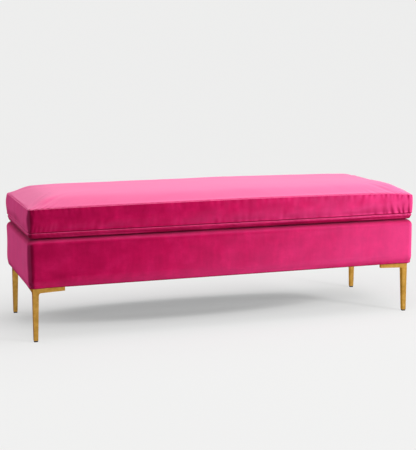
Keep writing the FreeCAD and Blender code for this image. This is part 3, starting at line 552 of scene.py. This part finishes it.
def cushion_relief(columns, rows, from_high, from_low):
    """How far each point of the cushion stands out: seams, folds, unevenness and the zip's strips."""
    high = from_high[:, None] + 0 * columns.along
    low = from_low[:, None] + 0 * columns.along
    along = columns.along[None] + 0 * high

    def noise(scale_along, scale_down, seed):
        return wave_noise(along, high, columns.length, scale_along, scale_down, seed)

    def folds(from_seam, reach, kind, more=()):
        return gathers(columns, from_seam, reach, gather_spots(columns, GATHERED, *kind) + list(more))

    on_side = (high > 0) & (low < 0)
    deep_folds = [fold for corner, weight in FOLDED.items() for fold in corner_folds(columns, corner, weight)]
    side = (folds(np.minimum(from_low, 0), SIDE_REACH, LOW_GATHERS, deep_folds)
            + folds(np.maximum(from_high, 0), SIDE_REACH, HIGH_GATHERS))
    panel = folds(np.minimum(from_high, 0), PANEL_REACH, PANEL_GATHERS)
    under = folds(np.maximum(from_low, 0), UNDER_REACH, UNDER_GATHERS)
    relief = seam_relief(high, *HIGH_SEAM) + seam_relief(low, *LOW_SEAM)
    relief = relief + np.where(on_side, side, 0) + np.where(high < 0, panel, 0) + np.where(low > 0, under, 0)

    eased = sum(weight * np.exp(-columns.from_corner(corner) / STREAK_REACH)
                for corner, weight in GATHERED.items())
    streaks = eased * noise(*STREAKS) * smooth_step(high / 10) * smooth_step(-low / 8)
    uneven = BROAD_RISE * noise(*BROAD) + MIDDLING_RISE * noise(*MIDDLING)
    fading = smooth_step((high + TOP_INSETS[0]) / 90)
    uneven = uneven * (1 - bell(np.abs(high) / CALM_REACH)) * (low < NOISE_LOW_LIMIT)
    uneven = uneven * np.where(high < 0, PANEL_SHARE * fading, 1.0)
    relief = relief + on_side * streaks + uneven

    rear = columns.side[None] == REAR
    from_zip, at_x = np.abs(high - ZIP_DROP), np.abs(rows[..., 0])
    strip = rear & (from_zip < STRIP_HALF) & (at_x < ZIP_SEAM_X)
    relief = np.where(strip, relief * smooth_step(from_zip / STRIP_HALF), relief)
    relief = relief + strip * (LIP_RISE * bell((from_zip - LIP_AT) / LIP_SPREAD)
                               - STITCH_DEPTH * bell((from_zip - STITCH_AT) / STITCH_SPREAD))
    crossing = rear & on_side & ~columns.arc[None]
    return relief + crossing * seam_relief(at_x - ZIP_SEAM_X, *CROSS_SEAM)


def make_cushion():
    columns = Columns(SEAM_X, SEAM_Y, SEAM_RADIUS, 3.0, 5.5, 260)
    rows, from_high, from_low = cushion_rows(columns)
    top = crown_patch(columns, rows)
    rows, top = puffed(columns, rows, top, from_high)
    move = normals(rows) * cushion_relief(columns, rows, from_high, from_low)[..., None]
    from_zip = np.abs(from_high[:, None] - ZIP_DROP)
    slit = 1 - smooth_step((np.abs(rows[..., 0]) - SLIT_X) / 2)
    slit = slit * (columns.side == REAR) * (1 - smooth_step((from_zip - SLIT_HALF + SLIT_EDGE) / 0.6))
    rows = rows + move
    rows[..., 1] += slit * (SLIT_Y - rows[..., 1])
    rows[..., 2] = np.maximum(rows[..., 2], shoulder(rows[..., 0], rows[..., 1], LEAST_CLEAR, MOUTH))
    top = top + fill(columns, move[0])
    return shell_mesh("cushion_cover", columns, rows, top, fill(columns, rows[-1]))[0]


cushion = make_cushion()


# Base

TUCK, TUCK_HEIGHT, TUCK_RADIUS, HEM_RADIUS = 4.0, 30.0, BASE_RADIUS - 2, BASE_RADIUS - 3
ROLL, ROLL_FALL, CORNER_FALL, CORNER_FALL_REACH, HEM_RISE = 5.0, 2.4, 1.6, 50, 0.2
DECK_FALL, BORDER_FALL, DIP, DIP_START, DIP_REACH = 0.9, 0.3, 2.4, 10, 24
DECK_INSETS = (100, 85, 76, 72, 70.8)
BORDER_INSETS = (70, 69.2, 68, 66, 62, 55, 47, 39, 31, 25)
ROUND_ANGLES, WALL_STEPS = range(90, -1, -10), 20
TUCK_SHARES, ROLL_ANGLES = (0.8, 0.62, 0.46, 0.32, 0.2), (0, 20, 40, 60, 80, 90)
ROLL_BACK = ((8.8, 0.05), (10.2, 0.3), (11.4, 0.7), (12.2, 1.0))
HEM_INSETS = (14, 18, 26, 40, 70)

# Places down the cover: minus the inset on top, then the depth of the wall, then these
TUCK_PLACE, ROLL_PLACE, BACK_PLACE, HEM_PLACE = 120, 150, 160, 170
WALL_END, SWELL_LENGTH, BORDER_START, BORDER_END, DECK_SEAM = 140, 130, 24, 71, 70.2
HEM_REACH, PULL_START = 60, 60

# Unevenness of the cover: scale along, scale down and seed of each noise, and the rises and depths
WALL_BROAD, WALL_MIDDLING, BORDER_NOISE = (150, 70, 31), (46, 60, 32), (60, 30, 33)
SWELL, BROAD_WAVES, MIDDLING_WAVES, BORDER_WAVES = 1.1, 0.55, 0.22, 0.3
MITRE_DEPTH, MITRE_WIDTH, DECK_SEAM_DEPTH = 1.3, 1.6, 0.9


def edge_dip(inset):
    """How far the cushion's weight has rounded off the edge of the base."""
    return DIP * (1 - float(smooth_step((inset - DIP_START) / DIP_REACH)))


def cover_rows(columns):
    """Rows of the base's cover, from the deck cloth over the top edge and the wall to the hem below."""
    rows, depth = [], []

    def add(inset, z, radius, place):
        x, y = columns.ring(BASE_X - inset, BASE_Y - inset, radius)
        rows.append(np.stack([x, y, z + 0 * x], axis=-1))
        depth.append(place)

    for inset in DECK_INSETS:
        add(inset, BASE_TOP - DECK_FALL, BASE_RADIUS, -inset)
    for inset in BORDER_INSETS:
        add(inset, BASE_TOP - BORDER_FALL - edge_dip(inset), BASE_RADIUS, -inset)
    for turn in map(math.radians, ROUND_ANGLES):
        inset, fall = TOP_ROUND * (1 - math.cos(turn)), TOP_ROUND * (1 - math.sin(turn))
        add(inset, BASE_TOP - BORDER_FALL - edge_dip(inset) - fall, BASE_RADIUS, 0)
    wall_top, wall_low = BASE_TOP - TOP_ROUND, BASE_LOW + TUCK_HEIGHT
    for z in np.linspace(wall_top, wall_low, WALL_STEPS)[1:]:
        add(0, z, BASE_RADIUS, wall_top - z)
    for share in TUCK_SHARES:
        add(TUCK * (1 - share) ** 2, BASE_LOW + TUCK_HEIGHT * share, TUCK_RADIUS, TUCK_PLACE)
    x, y = columns.ring(BASE_X, BASE_Y, BASE_RADIUS)
    corner = bell(np.hypot(np.abs(x) - BASE_X, np.abs(y) - BASE_Y) / CORNER_FALL_REACH)
    low = BASE_LOW - ROLL_FALL - CORNER_FALL * corner
    for turn in map(math.radians, ROLL_ANGLES):
        inset = TUCK * 0.7 + ROLL * (1 - math.cos(turn))
        add(inset, low + ROLL * (1 - math.sin(turn)), HEM_RADIUS, ROLL_PLACE)
    for inset, rise in ROLL_BACK:
        add(inset, low + (BASE_LOW - low) * rise, HEM_RADIUS, BACK_PLACE)
    for inset in HEM_INSETS:
        add(inset, BASE_LOW + HEM_RISE, HEM_RADIUS, HEM_PLACE)
    return np.stack(rows), np.array(depth)[:, None]


def cover_relief(columns, rows, depth):
    """How far each point of the base's cover stands out."""
    along = columns.along[None] + 0 * depth

    def noise(scale_along, scale_down, seed):
        return wave_noise(along, depth + 0 * along, columns.length, scale_along, scale_down, seed)

    wall = (depth >= 0) & (depth < WALL_END)
    from_corner = np.hypot(np.abs(columns.x0) - BASE_X, np.abs(columns.y0) - BASE_Y)[None]
    swell = SWELL * np.sin(math.pi * np.clip(depth / SWELL_LENGTH, 0, 1)) * smooth_step(from_corner / 90)
    waves = BROAD_WAVES * noise(*WALL_BROAD) + MIDDLING_WAVES * noise(*WALL_MIDDLING)
    waves = waves * smooth_step((depth + 8) / 30) * smooth_step((WALL_END - depth) / 30)
    relief = wall * (swell + waves)
    inside = -BORDER_START - depth
    border = (inside > 0) & (depth > -BORDER_END)
    from_mitre = np.abs(np.abs(rows[..., 0]) - BASE_X - (np.abs(rows[..., 1]) - BASE_Y)) / math.sqrt(2)
    relief = relief - border * MITRE_DEPTH * bell(from_mitre / MITRE_WIDTH) * smooth_step(inside / 6)
    relief = relief + border * BORDER_WAVES * noise(*BORDER_NOISE) * smooth_step(inside / 12)
    relief = relief - DECK_SEAM_DEPTH * bell((depth + DECK_SEAM) / SEAM_WIDTH)
    pulls = gathers(columns, HEM_PLACE - np.ravel(depth), HEM_REACH,
                    gather_spots(columns, HEM_GATHERED, *HEM_GATHERS))
    return relief + np.where((depth >= PULL_START) & (depth <= ROLL_PLACE), pulls, 0)


def make_base():
    """The base's cover, whose faces inside the border are the deck cloth, the second material."""
    columns = Columns(BASE_X, BASE_Y, BASE_RADIUS, 3.5, 6.0, 260)
    rows, depth = cover_rows(columns)
    rows = rows + normals(rows) * cover_relief(columns, rows, depth)[..., None]
    limit = shoulder(rows[..., 0], rows[..., 1], 0.1)
    rows[..., 2] = np.where(depth < 1, np.minimum(rows[..., 2], limit), rows[..., 2])
    top, bottom = fill(columns, rows[0]), fill(columns, rows[-1])
    piece, bands = shell_mesh("base_cover_velvet", columns, rows, top, bottom)
    deck = (bands < len(DECK_INSETS)) & (bands != BOTTOM_BAND)
    piece.data.polygons.foreach_set("material_index", deck.astype(np.int32))
    return piece


base_cover = make_base()


# Dust cover: the black cloth under the frame, slack between its staples and the legs' plates

DUST_X, DUST_Y, DUST_Z, DUST_THICK, SAG, CREASE = 674.0, 219.0, 178.0, 0.8, 3.2, 0.45
PLATE_X, PLATE_Y = 560, 105
CREASES, FINE_CREASES, FINE_SHARE = (44, 18, 41), (15, 9, 42), 0.5


def make_dust_cover():
    x, y = np.meshgrid(np.linspace(-DUST_X, DUST_X, 136), np.linspace(-DUST_Y, DUST_Y, 46), indexing="ij")

    def noise(scale_x, scale_y, seed):
        return wave_noise(x + DUST_X, y, 2 * DUST_X, scale_x, scale_y, seed)

    edge = np.minimum(DUST_X - np.abs(x), DUST_Y - np.abs(y))
    plate = np.hypot(np.maximum(PLATE_X - np.abs(x), 0), np.maximum(PLATE_Y - np.abs(y), 0))
    slack = smooth_step((edge - 12) / 110) * smooth_step((plate - 8) / 70)
    creases = noise(*CREASES) + FINE_SHARE * noise(*FINE_CREASES)
    z = DUST_Z - slack * SAG - CREASE * creases * smooth_step((edge - 6) / 30) * smooth_step(plate / 20)
    bottom = np.stack([x, y, np.minimum(z, DUST_Z)], axis=-1)
    points = np.concatenate([bottom.reshape(-1, 3), (bottom + [0, 0, DUST_THICK]).reshape(-1, 3)])
    index = np.arange(x.size).reshape(x.shape)
    low = grid_quads(index)
    rim = np.concatenate([index[:, 0], index[-1, 1:], index[-2::-1, -1], index[0, -2:0:-1]])
    after = np.roll(rim, -1)
    wall = np.stack([rim, after, after + x.size, rim + x.size], axis=-1)
    faces = np.concatenate([low, (low + x.size)[:, ::-1], wall])
    return mesh_piece("dust_cover_cloth", (points * MM).tolist(), faces.tolist(),
                      np.arange(len(faces)) < 2 * len(low))


dust_cover = make_dust_cover()


# Zip chain: two rows of coil loops that mesh along the slit

CHAIN_HALF, CHAIN_LOW, CHAIN_HIGH, CHAIN_PITCH, LOOP_HALF, LOOP_SIDES = 600.0, 223.62, 225.95, 2.0, 0.44, 6
LOOP = ((2.75, 0.35), (2.4, 0.8), (1.2, 0.95), (-0.35, 1.0), (-0.8, 0.6))


def make_chain():
    ring = [(math.cos(a), math.sin(a)) for a in np.linspace(0, 2 * math.pi, LOOP_SIDES + 1)[:-1]]
    middle, half = (CHAIN_LOW + CHAIN_HIGH) / 2, (CHAIN_HIGH - CHAIN_LOW) / 2
    points, faces = [], []
    for number in range(2 * int(2 * CHAIN_HALF / CHAIN_PITCH)):
        side = 1 if number % 2 else -1
        x = -CHAIN_HALF + (number + 0.5) * CHAIN_PITCH / 2
        start = len(points)
        points += [(x + LOOP_HALF * a * size, middle + half * b * size, ZIP_Z + side * z)
                   for z, size in LOOP for a, b in ring]
        loop = []
        for first in range(start, start + (len(LOOP) - 1) * LOOP_SIDES, LOOP_SIDES):
            for k in range(LOOP_SIDES):
                after = (k + 1) % LOOP_SIDES
                loop.append((first + k, first + after, first + LOOP_SIDES + after, first + LOOP_SIDES + k))
        last = start + (len(LOOP) - 1) * LOOP_SIDES
        loop.append(tuple(range(start + LOOP_SIDES - 1, start - 1, -1)))
        loop.append(tuple(range(last, last + LOOP_SIDES)))
        faces += loop if side < 0 else [face[::-1] for face in loop]
    return mesh_piece("zip_coil", (np.array(points) * MM).tolist(), faces, np.ones(len(faces), bool))


zip_coil = make_chain()


# Materials

class Look:
    """A material under construction."""

    def __init__(self, name):
        self.item = bpy.data.materials.new(name)
        self.item.use_nodes = True
        self.nodes, self.links = self.item.node_tree.nodes, self.item.node_tree.links
        self.shader = self.nodes["Principled BSDF"]

    def put(self, socket, given):
        """Link a socket to another, or set its own value: a number, a vector or a colour."""
        if isinstance(given, bpy.types.NodeSocket):
            self.links.new(given, socket)
        elif socket.type == "RGBA" and len(given) == 3:
            socket.default_value = tuple(given) + (1,)
        else:
            socket.default_value = given

    def set(self, values):
        for name, given in values.items():
            self.put(self.shader.inputs[name], given)

    def math(self, kind, a, b):
        node = self.nodes.new("ShaderNodeMath")
        node.operation = kind
        self.put(node.inputs[0], a)
        self.put(node.inputs[1], b)
        return node.outputs[0]

    def mapped(self, where, scale, shift=(0, 0, 0)):
        node = self.nodes.new("ShaderNodeMapping")
        self.put(node.inputs["Scale"], scale)
        self.put(node.inputs["Location"], shift)
        self.put(node.inputs["Vector"], where)
        return node.outputs["Vector"]

    def noise(self, where, scale, detail, rough, stretch=None):
        node = self.nodes.new("ShaderNodeTexNoise")
        self.put(node.inputs["Scale"], scale)
        self.put(node.inputs["Detail"], detail)
        self.put(node.inputs["Roughness"], rough)
        self.put(node.inputs["Vector"], self.mapped(where, stretch) if stretch else where)
        return node.outputs["Fac"]

    def ramp(self, factor, *stops):
        """A ramp of colours, or of greys where a stop has a number for a colour."""
        node = self.nodes.new("ShaderNodeValToRGB")
        elements = node.color_ramp.elements
        while len(elements) < len(stops):
            elements.new(0.5)
        for element, (place, colour) in zip(elements, stops):
            element.position = place
            element.color = (tuple(colour) if isinstance(colour, tuple) else (colour,) * 3) + (1,)
        self.put(node.inputs["Fac"], factor)
        return node.outputs["Color"]

    def mix(self, share, a, b, kind="MIX"):
        node = self.nodes.new("ShaderNodeMix")
        node.data_type = "RGBA"
        node.blend_type = kind
        for number, given in ((0, share), (6, a), (7, b)):
            self.put(node.inputs[number], given)
        return node.outputs[2]

    def times(self, a, b, share=1.0):
        return self.mix(share, a, b, "MULTIPLY")

    def bump(self, *heights):
        """Chained bumps: height, strength and distance in metres."""
        normal = None
        for height, strength, distance in heights:
            node = self.nodes.new("ShaderNodeBump")
            self.put(node.inputs["Strength"], strength)
            self.put(node.inputs["Distance"], distance)
            self.put(node.inputs["Height"], height)
            if normal:
                self.put(node.inputs["Normal"], normal)
            normal = node.outputs["Normal"]
        self.set({"Normal": normal})


# Velvet, painted sheen: darkening where the surface faces the eye, and the share of the pale sheen colour
# where it is seen edge on
PAINTED_SHEEN_DIM = (0.0, 0.75), (0.03, 0.81), (0.055, 0.96), (0.12, 0.98), (0.2, 1.0)
PAINTED_SHEEN_SHARE = (0.0, 0.0), (0.05, 0.02), (0.08, 0.13), (0.14, 0.42), (0.5, 0.66), (0.88, 1.0)
PILE_TONES = (0.28, (0.385, 0.003, 0.055)), (0.5, (0.46, 0.004, 0.068)), (0.74, (0.57, 0.009, 0.098))
# Colours of the painted sheen seen edge on and of the painted top sheen; the shader's own sheen tint
PAINTED_SHEEN_COLOUR, PAINTED_TOP_SHEEN, SHEEN = (0.86, 0.088, 0.305), (0.95, 0.29, 0.47), (1.0, 0.36, 0.66)
# Painted top sheen's power and even share; aim of the painted corner shade
TOP_SHEEN_POWER, TOP_SHEEN_EVEN, CORNER_SHADE_AIM = 1.35, 0.35, (-0.64, -0.77, 0)


def velvet(name, top_sheen_share, sheen_level_stops, shade_stops):
    """Painted sheen: darker where the surface faces the eye, paler where it is seen edge on, palest on
    surfaces that face up; painted shade by which way it faces.

    The stops run from surfaces that face down (0) over upright ones (0.5) to surfaces that face up (1).
    """
    look = Look(name)
    place = look.nodes.new("ShaderNodeTexCoord")
    where, normal = place.outputs["Object"], place.outputs["Normal"]
    patches = look.noise(where, 13, 6, 0.6, (1, 1, 1.4))
    streaks = look.noise(where, 46, 3, 0.55, (1.5, 1.5, 0.35))
    pile = look.noise(where, 1500, 2, 0.6)
    tone = look.ramp(patches, *PILE_TONES)
    tone = look.times(tone, look.ramp(streaks, (0.3, 0.88), (0.7, 1.1)), 0.7)
    tone = look.times(tone, look.ramp(look.noise(where, 21, 3, 0.5), (0.36, 0.94), (0.64, 1.06)))
    tone = look.times(tone, look.ramp(pile, (0.3, 0.82), (0.7, 1.14)), 0.5)

    weight = look.nodes.new("ShaderNodeLayerWeight")
    weight.inputs["Blend"].default_value = 0.5
    facing = weight.outputs["Facing"]
    # Painted sheen: darker where the surface faces the eye
    tone = look.times(tone, look.ramp(facing, *PAINTED_SHEEN_DIM))
    axes = look.nodes.new("ShaderNodeSeparateXYZ")
    look.put(axes.inputs[0], normal)
    leftward, upward = look.math("MULTIPLY", axes.outputs[0], -1.0), axes.outputs[2]
    level = look.math("MULTIPLY", look.math("ADD", upward, 1.0), 0.5)
    # Painted sheen: the pale colour's share where the surface is seen edge on, set by the stops for surfaces
    # facing down or up
    edge = look.math("MULTIPLY", look.ramp(facing, *PAINTED_SHEEN_SHARE), look.ramp(level, *sheen_level_stops))
    # Less painted sheen on surfaces facing left, where less light falls
    edge = look.math("MULTIPLY", edge, look.ramp(leftward, (0.5, 1.0), (0.95, 0.62)))
    tone = look.mix(edge, tone, PAINTED_SHEEN_COLOUR)
    # Painted sheen on top: palest on surfaces that face up, more so where seen edge on
    top_sheen_mask = look.ramp(upward, (0.45, 0.0), (0.96, top_sheen_share))
    seen = look.math("MULTIPLY", look.math("POWER", facing, TOP_SHEEN_POWER), 1 - TOP_SHEEN_EVEN)
    top_sheen = look.math("MULTIPLY", look.math("ADD", seen, TOP_SHEEN_EVEN), top_sheen_mask)
    # Painted shade: darker where the surface faces down and, on the base, where it faces up under the cushion
    tone = look.times(look.mix(top_sheen, tone, PAINTED_TOP_SHEEN), look.ramp(level, *shade_stops))

    # Painted shade: a dark band on rounded corners that turn towards the front left, where the lamps reach
    # least
    corner_facing = look.nodes.new("ShaderNodeVectorMath")
    corner_facing.operation = "DOT_PRODUCT"
    look.put(corner_facing.inputs[0], normal)
    look.put(corner_facing.inputs[1], CORNER_SHADE_AIM)
    corner_shade = look.ramp(corner_facing.outputs["Value"], (0.78, 1.0), (0.87, 0.70), (0.97, 0.42))
    look.set({"Base Color": look.times(tone, corner_shade), "Roughness": 0.8, "Specular IOR Level": 0.0,
              "Sheen Weight": 0.2, "Sheen Roughness": 0.35, "Sheen Tint": SHEEN})
    look.bump((patches, 0.2, 0.003), (streaks, 0.12, 0.001), (pile, 0.3, 0.0004))
    return look.item


def brass():
    look = Look("satin_brass")
    where = look.nodes.new("ShaderNodeTexCoord").outputs["Object"]
    cloud, cast = look.noise(where, 60, 5, 0.6), look.noise(where, 420, 4, 0.6)
    tone = look.ramp(cloud, (0.3, (0.46, 0.235, 0.04)), (0.55, (0.60, 0.325, 0.066)),
                     (0.75, (0.70, 0.41, 0.105)))
    look.set({"Base Color": tone, "Specular Tint": (0.20, 0.09, 0.03), "Metallic": 1,
              "Roughness": look.ramp(cast, (0.3, 0.30), (0.7, 0.46))})
    look.bump((cast, 0.35, 0.0006))
    return look.item


def plain(name, dark, light, scale, roughness, metallic=0.0, depth=0.0003, stretch=None):
    """A material whose colour and surface follow one grain."""
    look = Look(name)
    where = look.nodes.new("ShaderNodeTexCoord").outputs["Object"]
    grain = look.noise(where, scale, 5, 0.6, stretch)
    look.set({"Base Color": look.ramp(grain, (0.3, dark), (0.7, light)), "Metallic": metallic,
              "Roughness": roughness})
    look.bump((grain, 0.4, depth))
    return look.item


# The cushion's velvet and the base's copy, which differs only in painted light: less painted top sheen, and
# painted shade on its top under the cushion
VELVET = velvet("velvet_magenta", 0.92, [(0.3, 0.0), (0.46, 1.0)], [(0.1, 0.32), (0.3, 0.64), (0.48, 1.0)])
SHADED_BASE_VELVET = velvet("velvet_magenta_shaded_base", 0.1, [(0.3, 0.0), (0.46, 1.0), (0.6, 1.0), (0.9, 0.2)],
                     [(0.1, 0.5), (0.3, 0.75), (0.48, 1.0), (0.7, 1.0), (0.92, 0.86), (1.0, 0.62)])
BRASS = brass()
WOOD = plain("birch_wood", (0.52, 0.34, 0.18), (0.68, 0.50, 0.31), 9, 0.6, depth=0.0006, stretch=(0.6, 8, 8))
BLACK_CLOTH = plain("black_cloth", (0.012, 0.012, 0.014), (0.035, 0.035, 0.04), 900, 0.95)
BLACK_PLASTIC = plain("black_plastic", (0.012, 0.012, 0.012), (0.03, 0.03, 0.03), 300, 0.5)
ZINC = plain("zinc", (0.52, 0.53, 0.55), (0.68, 0.69, 0.71), 200, 0.35, metallic=1.0)
ZIP_CLOTH = plain("zip_cloth", (0.16, 0.004, 0.03), (0.25, 0.008, 0.05), 1500, 0.9)
ZIP_PLASTIC = plain("zip_plastic", (0.30, 0.008, 0.06), (0.42, 0.015, 0.09), 400, 0.35)

SLOT_LOOK = {"wood": WOOD, "brass": BRASS, "black_cloth": BLACK_CLOTH, "black_plastic": BLACK_PLASTIC,
             "zinc": ZINC, "zip_cloth": ZIP_CLOTH, "zip_plastic": ZIP_PLASTIC, "velvet": VELVET,
             "foam": BLACK_CLOTH, "wadding": BLACK_CLOTH}
for part in frame["record"]["subparts"]:
    mesh = frame["nodes"][part["node"]].data
    mesh.materials.clear()
    mesh.materials.append(SLOT_LOOK[part["material_slot"]])

cushion.data.materials.append(VELVET)
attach(cushion, "cushion")
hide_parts("cushion_top_panel", "cushion_bottom_panel", "cushion_boxing",
            "rear_boxing_upper", "rear_boxing_lower", "cushion_wrap", "cushion_core")

base_cover.data.materials.append(SHADED_BASE_VELVET)
base_cover.data.materials.append(BLACK_CLOTH)
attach(base_cover, "base")
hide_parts("base_cover", "side_padding", "deck_foam", "deck_cloth")

dust_cover.data.materials.append(BLACK_CLOTH)
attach(dust_cover, "base")
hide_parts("dust_cover")

zip_coil.data.materials.append(ZIP_PLASTIC)
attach(zip_coil, "cushion")
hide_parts("zip_chain")


# Studio: floor with a cove, lamps, camera (metres)

FLOOR_FRONT, FLOOR_REAR, FLOOR_HALF, COVE_RADIUS, COVE_STEPS, WALL_HEIGHT = -9.0, 6.0, 14.0, 3.0, 12, 9.0
FLOOR_COLOUR, FLOOR_GLOW = (0.74, 0.74, 0.737), (0.885, 0.885, 0.88)
# Painted shadow, partly: the floor's pale glow is least in an ellipse under the bench, where its lit shadow
# shows most; stretch, shift, span and glow shares
SHADE_STRETCH, SHADE_SHIFT, SHADE_SPAN = (1, 4, 1), (0.1, -0.4, 0), 4
SHADE = (0.40, 0.28), (0.52, 0.36), (0.64, 0.54), (0.86, 0.66), (1.3, 0.72), (2.0, 0.82), (3.4, 0.94)


def stage_sheet():
    """A pale floor that turns up into a backdrop far behind the bench."""
    profile = [(FLOOR_FRONT, 0.0), (FLOOR_REAR, 0.0)]
    for step in range(1, COVE_STEPS + 1):
        turn = step / COVE_STEPS * math.pi / 2
        profile.append((FLOOR_REAR + COVE_RADIUS * math.sin(turn), COVE_RADIUS * (1 - math.cos(turn))))
    profile.append((FLOOR_REAR + COVE_RADIUS, WALL_HEIGHT))
    points = [(x, y, z) for y, z in profile for x in (-FLOOR_HALF, FLOOR_HALF)]
    faces = [(a, a + 1, a + 3, a + 2) for a in range(0, len(points) - 2, 2)]
    return mesh_piece("studio_floor", points, faces, np.ones(len(faces), bool))


def floor_material():
    """Lit plainly for the object; seen and reflected partly as a plain pale glow, least under the bench,
    which paints its shadow there deeper.
    """
    look = Look("studio_floor")
    look.set({"Base Color": FLOOR_COLOUR, "Roughness": 0.9, "Specular IOR Level": 0.1})
    where = look.nodes.new("ShaderNodeTexCoord").outputs["Object"]
    away = look.nodes.new("ShaderNodeVectorMath")
    away.operation = "LENGTH"
    look.put(away.inputs[0], look.mapped(where, SHADE_STRETCH, SHADE_SHIFT))
    far_off = look.math("MULTIPLY", away.outputs["Value"], 1 / SHADE_SPAN)
    share = look.ramp(far_off, *((at / SHADE_SPAN, level) for at, level in SHADE))
    path = look.nodes.new("ShaderNodeLightPath")
    seen = look.math("MAXIMUM", path.outputs["Is Camera Ray"], path.outputs["Is Glossy Ray"])
    seen = look.math("MAXIMUM", seen, path.outputs["Is Transmission Ray"])
    glow = look.nodes.new("ShaderNodeEmission")
    look.put(glow.inputs["Color"], FLOOR_GLOW)
    mix = look.nodes.new("ShaderNodeMixShader")
    for socket, given in zip(mix.inputs, (look.math("MULTIPLY", seen, share), look.shader.outputs[0],
                                          glow.outputs[0])):
        look.put(socket, given)
    look.put(look.nodes["Material Output"].inputs["Surface"], mix.outputs[0])
    return look.item


floor = stage_sheet()
floor.data.materials.append(floor_material())

world = bpy.data.worlds.new("studio")
scene.world = world
world.use_nodes = True
world.node_tree.nodes["Background"].inputs["Color"].default_value = (0.95, 0.97, 1.0, 1)
world.node_tree.nodes["Background"].inputs["Strength"].default_value = 0.42


def lamp(name, place, aim, power, width, height):
    light = bpy.data.lights.new(name, "AREA")
    light.shape = "RECTANGLE"
    light.size, light.size_y = width, height
    light.energy = power
    piece = add_piece(name, light)
    piece.location = place
    piece.rotation_euler = (Vector(aim) - Vector(place)).to_track_quat("-Z", "Y").to_euler()


lamp("key", (2.4, -2.4, 1.2), (0.3, 0, 0.25), 74, 0.5, 0.5)
lamp("overhead", (0.3, -0.6, 3.0), (0, 0, 0.3), 57, 3.0, 2.0)
lamp("left", (-2.6, 1.0, 0.9), (-0.6, 0, 0.3), 8, 0.8, 0.8)

# The camera, solved for a picture 450 pixels high
FOCAL_PIXELS, PICTURE_HEIGHT, SENSOR = 1074.897, 450, 36
TILT, PAN = 9.0447, 18.9341

camera = bpy.data.cameras.new("camera")
camera.sensor_width = SENSOR
camera.lens = FOCAL_PIXELS / PICTURE_HEIGHT * SENSOR
camera_piece = add_piece("camera", camera)
camera_piece.location = (-1.22844, -3.55742, 0.91305)
camera_piece.rotation_euler = (math.radians(90 - TILT), 0, math.radians(-PAN))
scene.camera = camera_piece

scene.view_settings.view_transform = "Standard"
